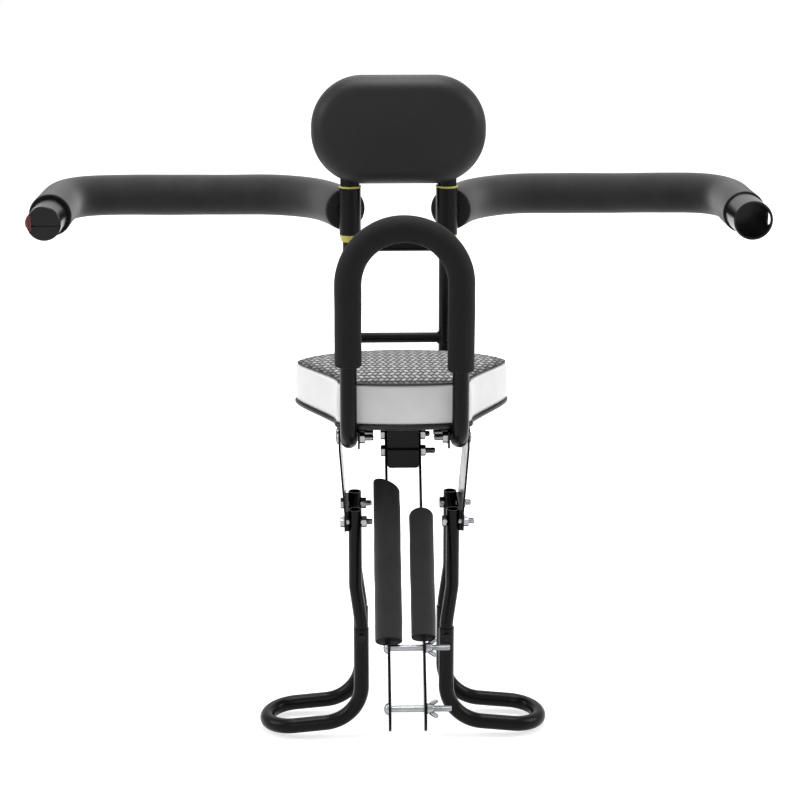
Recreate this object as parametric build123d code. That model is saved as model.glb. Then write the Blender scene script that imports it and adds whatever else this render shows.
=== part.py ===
"""Front-mounted child bicycle seat with swing-open foam guard arms and hanging footrests.

Row frame: +X to the viewer's right, +Y to the seat's rear, +Z up, millimetres.
The origin lies on the underside of the cradle block, straight below the cradle bolt,
where the seat rests on the bicycle's top tube.  The child faces -Y.
"""
import os
from math import cos, radians, sin, tan

from build123d import *

# Fits and gaps
RUN_FIT = 0.05            # radial running clearance
SLIP_FIT = 0.1            # radial clearance of pieces pushed together
BODY_GAP = 0.3            # clearance between pieces that move past each other
BOLT_HOLE_GAP = 0.2       # radial clearance of a bolt in its hole

# Bent frame tube: front hoop, rails under the saddle, back posts
TUBE_D = 16.0
TUBE_WALL = 1.5
FRAME_BEND_R = 25.0
HOOP_HALF = 53.0          # half the distance between the hoop's legs
HOOP_Y = -65.0
HOOP_TOP_Z = 245.0        # tube axis at the crown
HOOP_CROWN_FLAT = 0.4     # straight left between the crown's two bends
RAIL_Z = 36.0
RAIL_JOINT_Y = 92.0       # butt weld between the hoop's rail and the back post's rail
POST_HALF = 50.0
POST_Y = 165.0
POST_TOP_Z = 330.0
RUNG_D = 11.0
RUNG_LOWER_Z = 86.0

# Foam over the hoop
HOOP_FOAM_D = 25.5
HOOP_FOAM_LEFT_END_Z = 115.0
HOOP_FOAM_RIGHT_END_Z = 110.0

# Saddle
SADDLE_HALF = 105.0       # half width at the widest place
SADDLE_WIDE_Y = 45.0
SADDLE_NOSE_Y = -56.0
SADDLE_NOSE_HALF = 65.0
SADDLE_NOSE_BOW = 6.0
SADDLE_CORNER_R = 9.0
SADDLE_REAR_Y = 110.0
SADDLE_FLANK_PULL = 18.0  # how long the flank keeps straight back behind the nose
SADDLE_HIP_PULL = 19.0    # the shorter, the tighter the turn at the widest place
SADDLE_REAR_FLAT = 62.0   # how far the rear edge keeps straight from its middle
BASE_THICK = 6.4
BASE_LIP = 1.5
BASE_STEP = 2.0
BAND_HIGH = 38.0          # height of the white side band
BAND_REAR_DROP = 8.0      # fall of the top line to the rear
TOP_PANEL_RISE = 4.5
TOP_PANEL_INSET = 1.5
TOP_PANEL_EDGE_R = 4.0
PIPING_D = 3.4
SUPPORT_WIDE = 30.0
SUPPORT_THICK = 4.6
SUPPORT_HALF = 60.0
SUPPORT_Y = {"front": -15.0, "rear": 72.0}
SADDLE_BOLT_X = 30.0

# Back pad and its two sockets
PAD_WIDE = 179.0
PAD_HIGH = 110.5
PAD_THICK = 50.0
PAD_CORNER_R = 53.0
PAD_EDGE_R = 20.0
PAD_Y = 160.0
PAD_BOTTOM_Z = 250.5
SOCKET_D = 20.0

# Guard arms on the back posts
SLEEVE_D = 22.4
SLEEVE_WALL = 1.7
SLEEVE_BOTTOM_Z = 197.0
SLEEVE_HIGH = 48.5
BUSH_BARREL = 14.0
UPPER_FLANGE = 1.8
UPPER_FLANGE_D = 23.2
LOWER_FLANGE = 7.2
LOWER_FLANGE_TIP_D = 18.6
ARM_Z = 220.5
ARM_TUBE_D = 19.0
ARM_TUBE_WALL = 1.5
ARM_SPLAY_DEG = 20.0      # the arm leaves its sleeve turned this far outwards
ARM_BAR_Y = 273.0
ARM_HALF = 357.0          # tip axis
ARM_INNER_R = 90.0
ARM_OUTER_R = 42.0
ARM_FOAM_D = 43.6
ARM_FOAM_GAP = 1.6        # foam end to sleeve

# Latch at the arm tips
TIP_FACE_Y = 102.0        # plug face and socket mouth
TIP_LONG = 48.0           # length that stands out of the foam
TIP_ROOT = 16.0           # length held inside the foam's end
PLUG_D = 35.0
PLUG_SOLID = 28.0         # solid nose in front of the tube's end
PLUG_RIM = 1.0
PLUG_SLOT_HIGH = 1.3
PLUG_SLOT_DEEP = 2.0
PLUG_SLOT_DROP = 1.5
SOCKET_FIT = 0.4          # radial clearance of the plug in the socket
LATCH_WALL = 1.9
LATCH_DEEP = 43.0
LATCH_FLOOR = 3.0
BUTTON_HIGH = 16.0
BUTTON_LONG = 24.0
BUTTON_THICK = 4.7
BUTTON_TRAVEL = 2.6
BUTTON_SINK = 0.3         # button face below the plug's round
BOSS_HIGH = 12.0
BOSS_LONG = 18.0
BOSS_PROUD = 1.3          # boss above the plug's round
NOSE_LONG = 1.6           # thin front of the button, which passes the plug's lip
NOSE_THICK = 1.8
PLUG_LIP = 1.2            # wall in front of the spring's room
SPRING_THICK = 0.5
SPRING_SPAN = 15.0
SPRING_WIDE = 8.0
SPRING_FLAT = 0.7         # depth that the pressed spring still takes

# Bracket and cradle under the saddle
CRADLE_HIGH = 18.0
CRADLE_FRONT_Y = -19.5
CRADLE_BACK_Y = 40.0
CRADLE_EDGE_R = 3.0
BRACKET_FRONT_Y = -15.0
BRACKET_BACK_Y = 45.0
BRACKET_TONGUE_Y = 84.0
BRACKET_WALL = 2.5
CRADLE_BOLT_Z = 12.0

# Clamp plates that reach forward and down beside the bicycle's tubes
PLATE_LEAN_DEG = 40.0     # from straight down towards the front
PLATE_HALF = 16.5         # to the plate's middle
PLATE_THICK = 2.5
PLATE_WIDE = 20.0
PLATE_HEAD = 30.0         # above the cradle bolt
PLATE_LONG = 282.0        # below the cradle bolt
BRACKET_BOLT_UP = 18.0    # second bolt, along the plate above the cradle bolt
WING_BOLT_END_GAP = 21.0  # lower wing bolt to the plate's end
WING_BOLT_SPACING = 59.0
WING_BOLT_END_X = 41.0
WING_HEAD_D = 11.0
WING_HEAD_HIGH = 4.0
WING_NUT_D = 10.0
WING_NUT_LONG = 6.0
WING_REACH = 8.6
WING_LEAN = 7.2
WING_THICK = 2.4
WING_BROAD = 3.6
CLAMP_FOAM_LEFT_D = 26.0
CLAMP_FOAM_RIGHT_D = 23.5
CLAMP_FOAM_LEFT_TOP = 36.0
CLAMP_FOAM_RIGHT_TOP = 64.0
CLAMP_FOAM_LEFT_SLANT_DEG = 22.0

# Footrest hangers and footrests
HANGER_THICK = 2.0
HANGER_WIDE = 74.0
HANGER_Y = -15.0
HANGER_TOP_Z = 46.0
HANGER_BOTTOM_Z = -56.0
HANGER_STRAIGHT = 17.0    # upright length at the top, against the rail
HANGER_FOOT = 20.0        # upright length at the bottom, against the spacer
HANGER_CORNER_R = 7.0
RAIL_BOLT_Y = (-36.0, -18.0)
TAB_THICK = 2.0
TAB_Y = (-46.0, -8.0)
TAB_Z = (27.5, 43.5)
SPACER_THICK = 2.0
SPACER_TOP_Z = -36.0
LEG_D = 13.0
LEG_WALL = 1.2
LEG_TOP_HALF = 47.4
LEG_FOOT_HALF = 42.0
LEG_SPACING = 57.0
LEG_TOP_Z = -34.0
LEG_KINK_Z = (-113.0, -152.0)
LEG_END_Z = -185.0
LEG_BEND_R = 40.0
LEG_BOLT_DROP = 12.5
LOOP_D = 15.0
LOOP_TOP_Z = -157.0
LOOP_Z = -254.5
LOOP_HALF = 137.0
LOOP_DROOP = 9.0          # the loop's outer end hangs this much lower
LOOP_BEND_R = 40.0
LOOP_END_FLAT = 0.4
LOOP_SCREW_DROP = 8.0
LOOP_SCREW_D = 8.0
LOOP_SCREW_HEAD = 2.0
LOOP_SCREW_SHANK_D = 3.5

# Metric hardware
BOLT_D = 6.0
NUT_FLATS = 10.0
NUT_HIGH = 5.0
BOLT_HEAD_HIGH = 4.0
CARRIAGE_HEAD_D = 13.0
CARRIAGE_HEAD_HIGH = 2.6
RAIL_BOLT_INNER_X = 29.0  # thread end of the rail bolts
LEG_BOLT_TAIL = 5.5       # thread that stands out of the leg bolt's nut
CRADLE_BOLT_END_X = 32.0
BRACKET_BOLT_END_X = 27.0

SIDES = {"left": -1, "right": 1}
TUBE_R = TUBE_D / 2
BOLT_R = BOLT_D / 2
HOLE_R = BOLT_R + BOLT_HOLE_GAP
SLEEVE_R = SLEEVE_D / 2
SLEEVE_BORE_R = SLEEVE_R - SLEEVE_WALL
SLEEVE_TOP_Z = SLEEVE_BOTTOM_Z + SLEEVE_HIGH
FLANGE_TOP_Z = SLEEVE_TOP_Z + BODY_GAP + UPPER_FLANGE
FLANGE_BOTTOM_Z = SLEEVE_BOTTOM_Z - BODY_GAP - LOWER_FLANGE
RUNG_UPPER_Z = FLANGE_BOTTOM_Z - RUNG_D / 2
BASE_BOTTOM_Z = RAIL_Z + TUBE_R + SUPPORT_THICK
BASE_TOP_Z = BASE_BOTTOM_Z + BASE_THICK
BAND_TOP_Z = BASE_TOP_Z + BAND_HIGH
PAD_Z = PAD_BOTTOM_Z + PAD_HIGH / 2
FOAM_TIP_Y = TIP_FACE_Y + TIP_LONG
TUBE_TIP_Y = {-1: TIP_FACE_Y + PLUG_SOLID, 1: TIP_FACE_Y + LATCH_DEEP + LATCH_FLOOR}
SPRING_ROOM = BUTTON_TRAVEL + SPRING_FLAT
BUTTON_Y = TIP_FACE_Y + BUTTON_LONG / 2 + BODY_GAP
HOOP_FOAM_END_Z = {-1: HOOP_FOAM_LEFT_END_Z, 1: HOOP_FOAM_RIGHT_END_Z}
WING_BOLT_LOWER = PLATE_LONG - WING_BOLT_END_GAP
WING_BOLT_AT = {"upper": WING_BOLT_LOWER - WING_BOLT_SPACING, "lower": WING_BOLT_LOWER}
CLAMP_FOAM_D = {-1: CLAMP_FOAM_LEFT_D, 1: CLAMP_FOAM_RIGHT_D}
CLAMP_FOAM_TOP = {-1: CLAMP_FOAM_LEFT_TOP, 1: CLAMP_FOAM_RIGHT_TOP}
CLAMP_FOAM_SLANT_DEG = {-1: CLAMP_FOAM_LEFT_SLANT_DEG, 1: 0.0}
CLAMP_FOAM_END = {
    -1: WING_BOLT_AT["upper"] - WING_HEAD_D / 2 - BODY_GAP,
    1: WING_BOLT_AT["upper"] - WING_REACH - 2 * BODY_GAP,
}
CRADLE_HALF = PLATE_HALF - PLATE_THICK / 2
PLATE_OUTER_X = PLATE_HALF + PLATE_THICK / 2
LEG_Y = {"front": HANGER_Y - LEG_SPACING / 2, "rear": HANGER_Y + LEG_SPACING / 2}
LEG_BOLT_Z = LEG_TOP_Z - LEG_BOLT_DROP
LEG_OUTER_X = LEG_TOP_HALF + LEG_D / 2
HANGER_FOOT_X = LEG_OUTER_X + SPACER_THICK
LOOP_WALL = (LOOP_D - LEG_D) / 2 - SLIP_FIT


def rail_half(y):
    """Half the distance between the rails, which close in a little towards the rear."""
    return HOOP_HALF + (POST_HALF - HOOP_HALF) * (y - HOOP_Y) / (POST_Y - HOOP_Y)


HANGER_TOP_X = rail_half(HANGER_Y - HANGER_WIDE / 2) + TUBE_R
TAB_OUTER_X = min(rail_half(y) for y in TAB_Y) - TUBE_R


def bent_tube(points, radii, outer_d, inner_d=0.0):
    """A round tube, or a rod, along straight runs joined by tangent bends."""
    path = FilletPolyline(*points, radius=radii)
    ring = Circle(outer_d / 2)
    if inner_d:
        ring -= Circle(inner_d / 2)
    return sweep(Plane(origin=path @ 0, z_dir=path % 0) * ring, path=path)


def rod_x(d, x0, x1, y, z):
    """A round rod along X."""
    return Pos((x0 + x1) / 2, y, z) * Rot(0, 90, 0) * Cylinder(d / 2, abs(x1 - x0))


def rod_y(d, y0, y1, x, z):
    """A round rod along Y."""
    return Pos(x, (y0 + y1) / 2, z) * Rot(90, 0, 0) * Cylinder(d / 2, abs(y1 - y0))


def rod_z(d, z0, z1, x, y):
    """A round rod along Z."""
    return Pos(x, y, (z0 + z1) / 2) * Cylinder(d / 2, abs(z1 - z0))


def hex_x(x0, x1, y, z):
    """A hexagon nut or head along X, without its bore."""
    face = Plane(origin=(x0, y, z), z_dir=(1, 0, 0))
    outline = RegularPolygon(NUT_FLATS / 2, 6, major_radius=False)
    return extrude(face * outline, amount=x1 - x0)


def block(x, y, z):
    """A box from three (low, high) pairs."""
    low = [min(pair) for pair in (x, y, z)]
    size = [abs(pair[1] - pair[0]) for pair in (x, y, z)]
    return Pos(*low) * Box(*size, align=(Align.MIN, Align.MIN, Align.MIN))


def group(solids):
    """Separate solids that share one node."""
    return Compound(children=list(solids))


def plate_plane(x):
    """Plane of a clamp plate: local x runs down along the plate from the cradle bolt."""
    lean = radians(PLATE_LEAN_DEG)
    return Plane(origin=(x, 0, CRADLE_BOLT_Z), x_dir=(0, -sin(lean), -cos(lean)), z_dir=(1, 0, 0))


def plate_point(along):
    """Row Y and Z of a place along the clamp plates."""
    lean = radians(PLATE_LEAN_DEG)
    return -along * sin(lean), CRADLE_BOLT_Z - along * cos(lean)


def front_hoop():
    rail_x = rail_half(RAIL_JOINT_Y)
    points = [
        (-rail_x, RAIL_JOINT_Y, RAIL_Z),
        (-HOOP_HALF, HOOP_Y, RAIL_Z),
        (-HOOP_HALF, HOOP_Y, HOOP_TOP_Z),
        (HOOP_HALF, HOOP_Y, HOOP_TOP_Z),
        (HOOP_HALF, HOOP_Y, RAIL_Z),
        (rail_x, RAIL_JOINT_Y, RAIL_Z),
    ]
    crown_r = HOOP_HALF - HOOP_CROWN_FLAT / 2
    radii = [FRAME_BEND_R, crown_r, crown_r, FRAME_BEND_R]
    hoop = bent_tube(points, radii, TUBE_D, TUBE_D - 2 * TUBE_WALL)
    return hoop - rail_holes()


def rail_holes():
    """Cross holes for the hanger bolts in both rails."""
    reach = HANGER_TOP_X + HANGER_THICK
    return [rod_x(2 * HOLE_R, -reach, reach, y, RAIL_Z) for y in RAIL_BOLT_Y]


def back_post(side):
    points = [
        (side * rail_half(RAIL_JOINT_Y), RAIL_JOINT_Y, RAIL_Z),
        (side * POST_HALF, POST_Y, RAIL_Z),
        (side * POST_HALF, POST_Y, POST_TOP_Z),
    ]
    return bent_tube(points, [FRAME_BEND_R], TUBE_D, TUBE_D - 2 * TUBE_WALL)


def back_rung(z):
    """A cross tube coped to the round of both posts."""
    rung = rod_x(RUNG_D, -POST_HALF, POST_HALF, POST_Y, z)
    for side in SIDES.values():
        rung -= rod_z(TUBE_D, z - RUNG_D, z + RUNG_D, side * POST_HALF, POST_Y)
    return rung


def hoop_foam():
    points = [
        (-HOOP_HALF, HOOP_Y, HOOP_FOAM_END_Z[-1]),
        (-HOOP_HALF, HOOP_Y, HOOP_TOP_Z),
        (HOOP_HALF, HOOP_Y, HOOP_TOP_Z),
        (HOOP_HALF, HOOP_Y, HOOP_FOAM_END_Z[1]),
    ]
    crown_r = HOOP_HALF - HOOP_CROWN_FLAT / 2
    return bent_tube(points, [crown_r, crown_r], HOOP_FOAM_D, TUBE_D + 2 * SLIP_FIT)


def saddle_outline(grow):
    """Plan of the saddle: bowed nose, flanks that flare in an S, tight hips and a full rear."""
    nose_y = SADDLE_NOSE_Y - grow
    shoulder_y = nose_y + SADDLE_NOSE_BOW
    nose_half = SADDLE_NOSE_HALF + grow
    corner_x = nose_half - SADDLE_CORNER_R
    corner_y = shoulder_y + SADDLE_CORNER_R
    wide = SADDLE_HALF + grow
    nose = ThreePointArc((-corner_x, shoulder_y), (0, nose_y), (corner_x, shoulder_y))
    corner = JernArc((nose_half, corner_y), (0, -1), SADDLE_CORNER_R, -90)
    flank = Bezier(
        (nose_half, corner_y),
        (nose_half, corner_y + SADDLE_FLANK_PULL),
        (wide, SADDLE_WIDE_Y - SADDLE_HIP_PULL),
        (wide, SADDLE_WIDE_Y),
    )
    rear_y = SADDLE_REAR_Y + grow
    rear = Bezier(
        (wide, SADDLE_WIDE_Y),
        (wide, SADDLE_WIDE_Y + SADDLE_HIP_PULL),
        (SADDLE_REAR_FLAT, rear_y),
        (0, rear_y),
    )
    right = [corner, flank, rear]
    left = [mirror(edge, about=Plane.YZ) for edge in right]
    return make_face([nose, *right, *left])


def under_saddle_top(lift):
    """Everything below the saddle's top line, a parabola that starts level and falls to the rear."""
    front_y = SADDLE_NOSE_Y - SADDLE_CORNER_R
    rear_y = SADDLE_REAR_Y + SADDLE_CORNER_R
    top = BAND_TOP_Z + lift
    end = top - BAND_REAR_DROP
    low = BASE_BOTTOM_Z - BASE_THICK
    line = Bezier((front_y, top), ((front_y + rear_y) / 2, top), (rear_y, end))
    closing = Polyline((rear_y, end), (rear_y, low), (front_y, low), (front_y, top))
    side_view = make_face([line, closing])
    return extrude(Plane.YZ * side_view, amount=2 * SADDLE_HALF, both=True)


def saddle_prism(grow, low_z, high_z):
    """The saddle's plan as a straight block."""
    return extrude(Pos(0, 0, low_z) * saddle_outline(grow), amount=high_z - low_z)


def saddle_bolt_places():
    return [(x, y) for y in SUPPORT_Y.values() for x in (-SADDLE_BOLT_X, SADDLE_BOLT_X)]


def saddle_base():
    """Pressed board whose stepped lip stands out under the side band."""
    step_z = BASE_BOTTOM_Z + BASE_STEP
    base = saddle_prism(BASE_LIP, step_z, BASE_TOP_Z)
    base += saddle_prism(BASE_LIP - BASE_STEP, BASE_BOTTOM_Z, step_z)
    for x, y in saddle_bolt_places():
        base -= rod_z(2 * HOLE_R, BASE_BOTTOM_Z, BASE_TOP_Z, x, y)
    return base


def saddle_side_band():
    return saddle_prism(0, BASE_TOP_Z, BAND_TOP_Z) & under_saddle_top(0)


def saddle_top_panel():
    """Padded woven panel with a rounded edge, lying on the band."""
    panel = saddle_prism(-TOP_PANEL_INSET, BASE_TOP_Z, BAND_TOP_Z + TOP_PANEL_RISE)
    panel = panel & under_saddle_top(TOP_PANEL_RISE)
    panel -= under_saddle_top(0)
    return fillet(panel.faces().sort_by(Axis.Z)[-1].edges(), TOP_PANEL_EDGE_R)


def saddle_piping():
    """Sewn bead along the seam between band and top panel."""
    half = PIPING_D / 2
    bead = saddle_prism(half, BASE_TOP_Z, BAND_TOP_Z + half) - saddle_prism(0, BASE_TOP_Z, BAND_TOP_Z + half)
    return (bead & under_saddle_top(half)) - under_saddle_top(-half)


def seat_support(y):
    """Flat bar across both rails that carries the saddle."""
    low_z = RAIL_Z + TUBE_R
    span_y = (y - SUPPORT_WIDE / 2, y + SUPPORT_WIDE / 2)
    bar = block((-SUPPORT_HALF, SUPPORT_HALF), span_y, (low_z, low_z + SUPPORT_THICK))
    for x in (-SADDLE_BOLT_X, SADDLE_BOLT_X):
        bar -= rod_z(2 * HOLE_R, low_z, low_z + SUPPORT_THICK, x, y)
    return bar


def saddle_bolts():
    """Bolts up through the supports into the saddle's base."""
    low_z = RAIL_Z + TUBE_R
    bolts = []
    for x, y in saddle_bolt_places():
        head = Pos(x, y, low_z - BOLT_HEAD_HIGH) * extrude(
            RegularPolygon(NUT_FLATS / 2, 6, major_radius=False), amount=BOLT_HEAD_HIGH
        )
        bolts.append(head + rod_z(BOLT_D, low_z, BASE_TOP_Z, x, y))
    return group(bolts)


def pad_socket(side):
    """Tube inside the back pad that slides over a post and rests on the bush."""
    x = side * POST_HALF
    top_z = POST_TOP_Z
    tube = rod_z(SOCKET_D, FLANGE_TOP_Z, top_z, x, POST_Y)
    return tube - rod_z(TUBE_D + 2 * SLIP_FIT, FLANGE_TOP_Z, top_z, x, POST_Y)


def backrest_pad():
    """Moulded oval pad, rounded all round, with blind holes for its two sockets."""
    face = Plane(origin=(0, PAD_Y - PAD_THICK / 2, PAD_Z), x_dir=(1, 0, 0), z_dir=(0, 1, 0))
    pad = extrude(face * RectangleRounded(PAD_WIDE, PAD_HIGH, PAD_CORNER_R), amount=PAD_THICK)
    ends = pad.faces().sort_by(Axis.Y)
    pad = fillet(ends[0].edges() + ends[-1].edges(), PAD_EDGE_R)
    for side in SIDES.values():
        pad -= rod_z(SOCKET_D + 2 * SLIP_FIT, FLANGE_TOP_Z, POST_TOP_Z, side * POST_HALF, POST_Y)
    return pad


def upper_bush(side):
    """Flanged nylon bush at the top of the arm's sleeve."""
    x = side * POST_HALF
    low_z = SLEEVE_TOP_Z + BODY_GAP
    flange = rod_z(UPPER_FLANGE_D, low_z, FLANGE_TOP_Z, x, POST_Y)
    barrel = rod_z(2 * (SLEEVE_BORE_R - RUN_FIT), low_z - BUSH_BARREL, low_z, x, POST_Y)
    bore = rod_z(TUBE_D + 2 * RUN_FIT, low_z - BUSH_BARREL, FLANGE_TOP_Z, x, POST_Y)
    return flange + barrel - bore


def lower_bush(side):
    """Flanged nylon bush under the sleeve, its flange tapering down to the rung."""
    x = side * POST_HALF
    high_z = SLEEVE_BOTTOM_Z - BODY_GAP
    middle = Pos(x, POST_Y, (FLANGE_BOTTOM_Z + high_z) / 2)
    flange = middle * Cone(LOWER_FLANGE_TIP_D / 2, SLEEVE_R, LOWER_FLANGE)
    barrel = rod_z(2 * (SLEEVE_BORE_R - RUN_FIT), high_z, high_z + BUSH_BARREL, x, POST_Y)
    bore = rod_z(TUBE_D + 2 * RUN_FIT, FLANGE_BOTTOM_Z, high_z + BUSH_BARREL, x, POST_Y)
    return flange + barrel - bore


def arm_route(side, start, end_y):
    """Corner points of an arm: out of the sleeve's back, along the bar, forward to the tip."""
    splay = radians(ARM_SPLAY_DEG)
    corner_x = POST_HALF + (ARM_BAR_Y - POST_Y) * tan(splay)
    return [
        (side * (POST_HALF + start * sin(splay)), POST_Y + start * cos(splay), ARM_Z),
        (side * corner_x, ARM_BAR_Y, ARM_Z),
        (side * ARM_HALF, ARM_BAR_Y, ARM_Z),
        (side * ARM_HALF, end_y, ARM_Z),
    ]


def arm_sleeve(side):
    x = side * POST_HALF
    sleeve = rod_z(SLEEVE_D, SLEEVE_BOTTOM_Z, SLEEVE_TOP_Z, x, POST_Y)
    return sleeve - rod_z(2 * SLEEVE_BORE_R, SLEEVE_BOTTOM_Z, SLEEVE_TOP_Z, x, POST_Y)


def arm_tube(side):
    """Steel core of an arm, coped to the sleeve's back."""
    route = arm_route(side, 0, TUBE_TIP_Y[side])
    tube = bent_tube(route, [ARM_INNER_R, ARM_OUTER_R], ARM_TUBE_D, ARM_TUBE_D - 2 * ARM_TUBE_WALL)
    return tube - rod_z(SLEEVE_D, SLEEVE_BOTTOM_Z, SLEEVE_TOP_Z, side * POST_HALF, POST_Y)


def tip_d(side):
    """Outer diameter of the fitting on an arm's tip: plug on the left, socket on the right."""
    socket_d = PLUG_D + 2 * (SOCKET_FIT + LATCH_WALL)
    return PLUG_D if side < 0 else socket_d


def arm_foam(side):
    """Foam grip over the whole arm, its outer end stretched over the tip fitting."""
    route = arm_route(side, SLEEVE_R + ARM_FOAM_GAP, FOAM_TIP_Y)
    inner_d = ARM_TUBE_D + 2 * SLIP_FIT
    foam = bent_tube(route, [ARM_INNER_R, ARM_OUTER_R], ARM_FOAM_D, inner_d)
    end_y = FOAM_TIP_Y + TIP_ROOT + SLIP_FIT
    return foam - rod_y(tip_d(side) + 2 * SLIP_FIT, FOAM_TIP_Y, end_y, side * ARM_HALF, ARM_Z)


def tip_bore(side):
    """The fitting's hole for the end of the arm's tube."""
    end_y = FOAM_TIP_Y + TIP_ROOT
    return rod_y(ARM_TUBE_D + 2 * SLIP_FIT, TUBE_TIP_Y[side], end_y, side * ARM_HALF, ARM_Z)


def latch_plug():
    """Round plug with a button pocket on its outer side and a parting slot across its face."""
    x = -ARM_HALF
    outer_x = x - PLUG_D / 2
    plug = rod_y(PLUG_D, TIP_FACE_Y, FOAM_TIP_Y + TIP_ROOT, x, ARM_Z)
    plug = chamfer(plug.faces().sort_by(Axis.Y)[0].edges(), PLUG_RIM)
    plug -= tip_bore(-1)
    half_high = BUTTON_HIGH / 2 + BODY_GAP
    pocket_end = TIP_FACE_Y + BUTTON_LONG + 2 * BODY_GAP
    pocket_floor = outer_x + BUTTON_SINK + BUTTON_THICK + SPRING_ROOM
    pocket_z = (ARM_Z - half_high, ARM_Z + half_high)
    lip_x = outer_x + BUTTON_SINK + BUTTON_THICK
    plug -= block((outer_x, pocket_floor), (TIP_FACE_Y + PLUG_LIP, pocket_end), pocket_z)
    plug -= block((outer_x, lip_x), (TIP_FACE_Y, pocket_end), pocket_z)
    slot_z = ARM_Z - PLUG_SLOT_DROP
    slot_y = (TIP_FACE_Y, TIP_FACE_Y + PLUG_SLOT_DEEP)
    slot = block((lip_x, x + PLUG_D / 2), slot_y, (slot_z - PLUG_SLOT_HIGH, slot_z))
    return plug - slot


def latch_button():
    """Slider in the plug's pocket, with a round-backed oval boss that snaps into the socket's hole."""
    x = -ARM_HALF
    face_x = x - PLUG_D / 2 + BUTTON_SINK
    low_y = BUTTON_Y - BUTTON_LONG / 2
    high_y = BUTTON_Y + BUTTON_LONG / 2
    round_d = PLUG_D - 2 * BUTTON_SINK
    body = rod_y(round_d, low_y, high_y, x, ARM_Z)
    span_z = (ARM_Z - BUTTON_HIGH / 2, ARM_Z + BUTTON_HIGH / 2)
    body &= block((face_x, face_x + BUTTON_THICK), (low_y, high_y), span_z)
    body -= block((face_x + NOSE_THICK, face_x + BUTTON_THICK), (low_y, low_y + NOSE_LONG), span_z)
    boss_plane = Plane(origin=(face_x + BUTTON_THICK / 2, BUTTON_Y, ARM_Z), x_dir=(0, 1, 0), z_dir=(-1, 0, 0))
    boss_reach = BUTTON_THICK / 2 + BUTTON_SINK + BOSS_PROUD
    boss = extrude(boss_plane * SlotOverall(BOSS_LONG, BOSS_HIGH), amount=boss_reach)
    boss &= rod_y(PLUG_D + 2 * BOSS_PROUD, low_y, high_y, x, ARM_Z)
    return body + boss


def latch_spring():
    """Bowed leaf spring between the pocket's floor and the button."""
    floor_x = -ARM_HALF - PLUG_D / 2 + BUTTON_SINK + BUTTON_THICK + SPRING_ROOM - RUN_FIT
    crest_x = floor_x - SPRING_ROOM + 2 * RUN_FIT
    low_y = BUTTON_Y - SPRING_SPAN / 2
    high_y = BUTTON_Y + SPRING_SPAN / 2
    outer = ThreePointArc((floor_x - SPRING_THICK, low_y), (crest_x, BUTTON_Y), (floor_x - SPRING_THICK, high_y))
    inner = ThreePointArc((floor_x, low_y), (crest_x + SPRING_THICK, BUTTON_Y), (floor_x, high_y))
    ends = [Line(outer @ t, inner @ t) for t in (0, 1)]
    leaf = make_face([outer, ends[1], inner, ends[0]])
    return extrude(Pos(0, 0, ARM_Z) * leaf, amount=SPRING_WIDE / 2, both=True)


def latch_socket():
    """Cup that takes the plug, with an oval hole for the button on its outer side."""
    x = ARM_HALF
    bore_d = PLUG_D + 2 * SOCKET_FIT
    cup = rod_y(tip_d(1), TIP_FACE_Y, FOAM_TIP_Y + TIP_ROOT, x, ARM_Z)
    cup -= rod_y(bore_d, TIP_FACE_Y, TIP_FACE_Y + LATCH_DEEP, x, ARM_Z)
    cup -= tip_bore(1)
    hole_plane = Plane(origin=(x, socket_hole_y(), ARM_Z), x_dir=(0, 1, 0), z_dir=(1, 0, 0))
    hole = SlotOverall(BOSS_LONG + 4 * BODY_GAP, BOSS_HIGH + 4 * BODY_GAP)
    return cup - extrude(hole_plane * hole, amount=tip_d(1))


def socket_hole_y():
    """Place of the button hole, in line with the boss when both arms are swung shut."""
    shut_boss_x = -POST_HALF - (BUTTON_Y - POST_Y)
    return POST_Y + shut_boss_x - POST_HALF


def cradle_holes():
    """Cross holes for the cradle bolt and the bracket bolt."""
    places = [plate_point(0), plate_point(-BRACKET_BOLT_UP)]
    return [rod_x(2 * HOLE_R, -PLATE_OUTER_X, PLATE_OUTER_X, y, z) for y, z in places]


def cradle_block():
    """Block that sits on the bicycle's top tube, its lower long edges rounded."""
    cradle = block((-CRADLE_HALF, CRADLE_HALF), (CRADLE_FRONT_Y, CRADLE_BACK_Y), (0, CRADLE_HIGH))
    edges = cradle.edges().filter_by(Axis.Y).sort_by(Axis.Z)[:2]
    return fillet(edges, CRADLE_EDGE_R) - cradle_holes()


def mount_bracket():
    """Folded channel over the cradle, closed at the front, with a tongue back to the rear support."""
    top_z = RAIL_Z + TUBE_R
    x = (-CRADLE_HALF, CRADLE_HALF)
    inner = CRADLE_HALF - BRACKET_WALL
    shell = block(x, (BRACKET_FRONT_Y, BRACKET_BACK_Y), (CRADLE_HIGH, top_z))
    hollow_y = (BRACKET_FRONT_Y + BRACKET_WALL, BRACKET_BACK_Y)
    shell -= block((-inner, inner), hollow_y, (CRADLE_HIGH, top_z - BRACKET_WALL))
    tongue = block(x, (BRACKET_BACK_Y, BRACKET_TONGUE_Y), (top_z - BRACKET_WALL, top_z))
    return shell + tongue - cradle_holes()


def bracket_bolts():
    """The two cross bolts that carry the clamp plates on the cradle and its bracket."""
    bolts = []
    for along, end_x in ((0, CRADLE_BOLT_END_X), (-BRACKET_BOLT_UP, BRACKET_BOLT_END_X)):
        y, z = plate_point(along)
        head = hex_x(-PLATE_OUTER_X - BOLT_HEAD_HIGH, -PLATE_OUTER_X, y, z)
        bolts.append(head + rod_x(BOLT_D, -PLATE_OUTER_X, end_x, y, z))
    return group(bolts)


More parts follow.
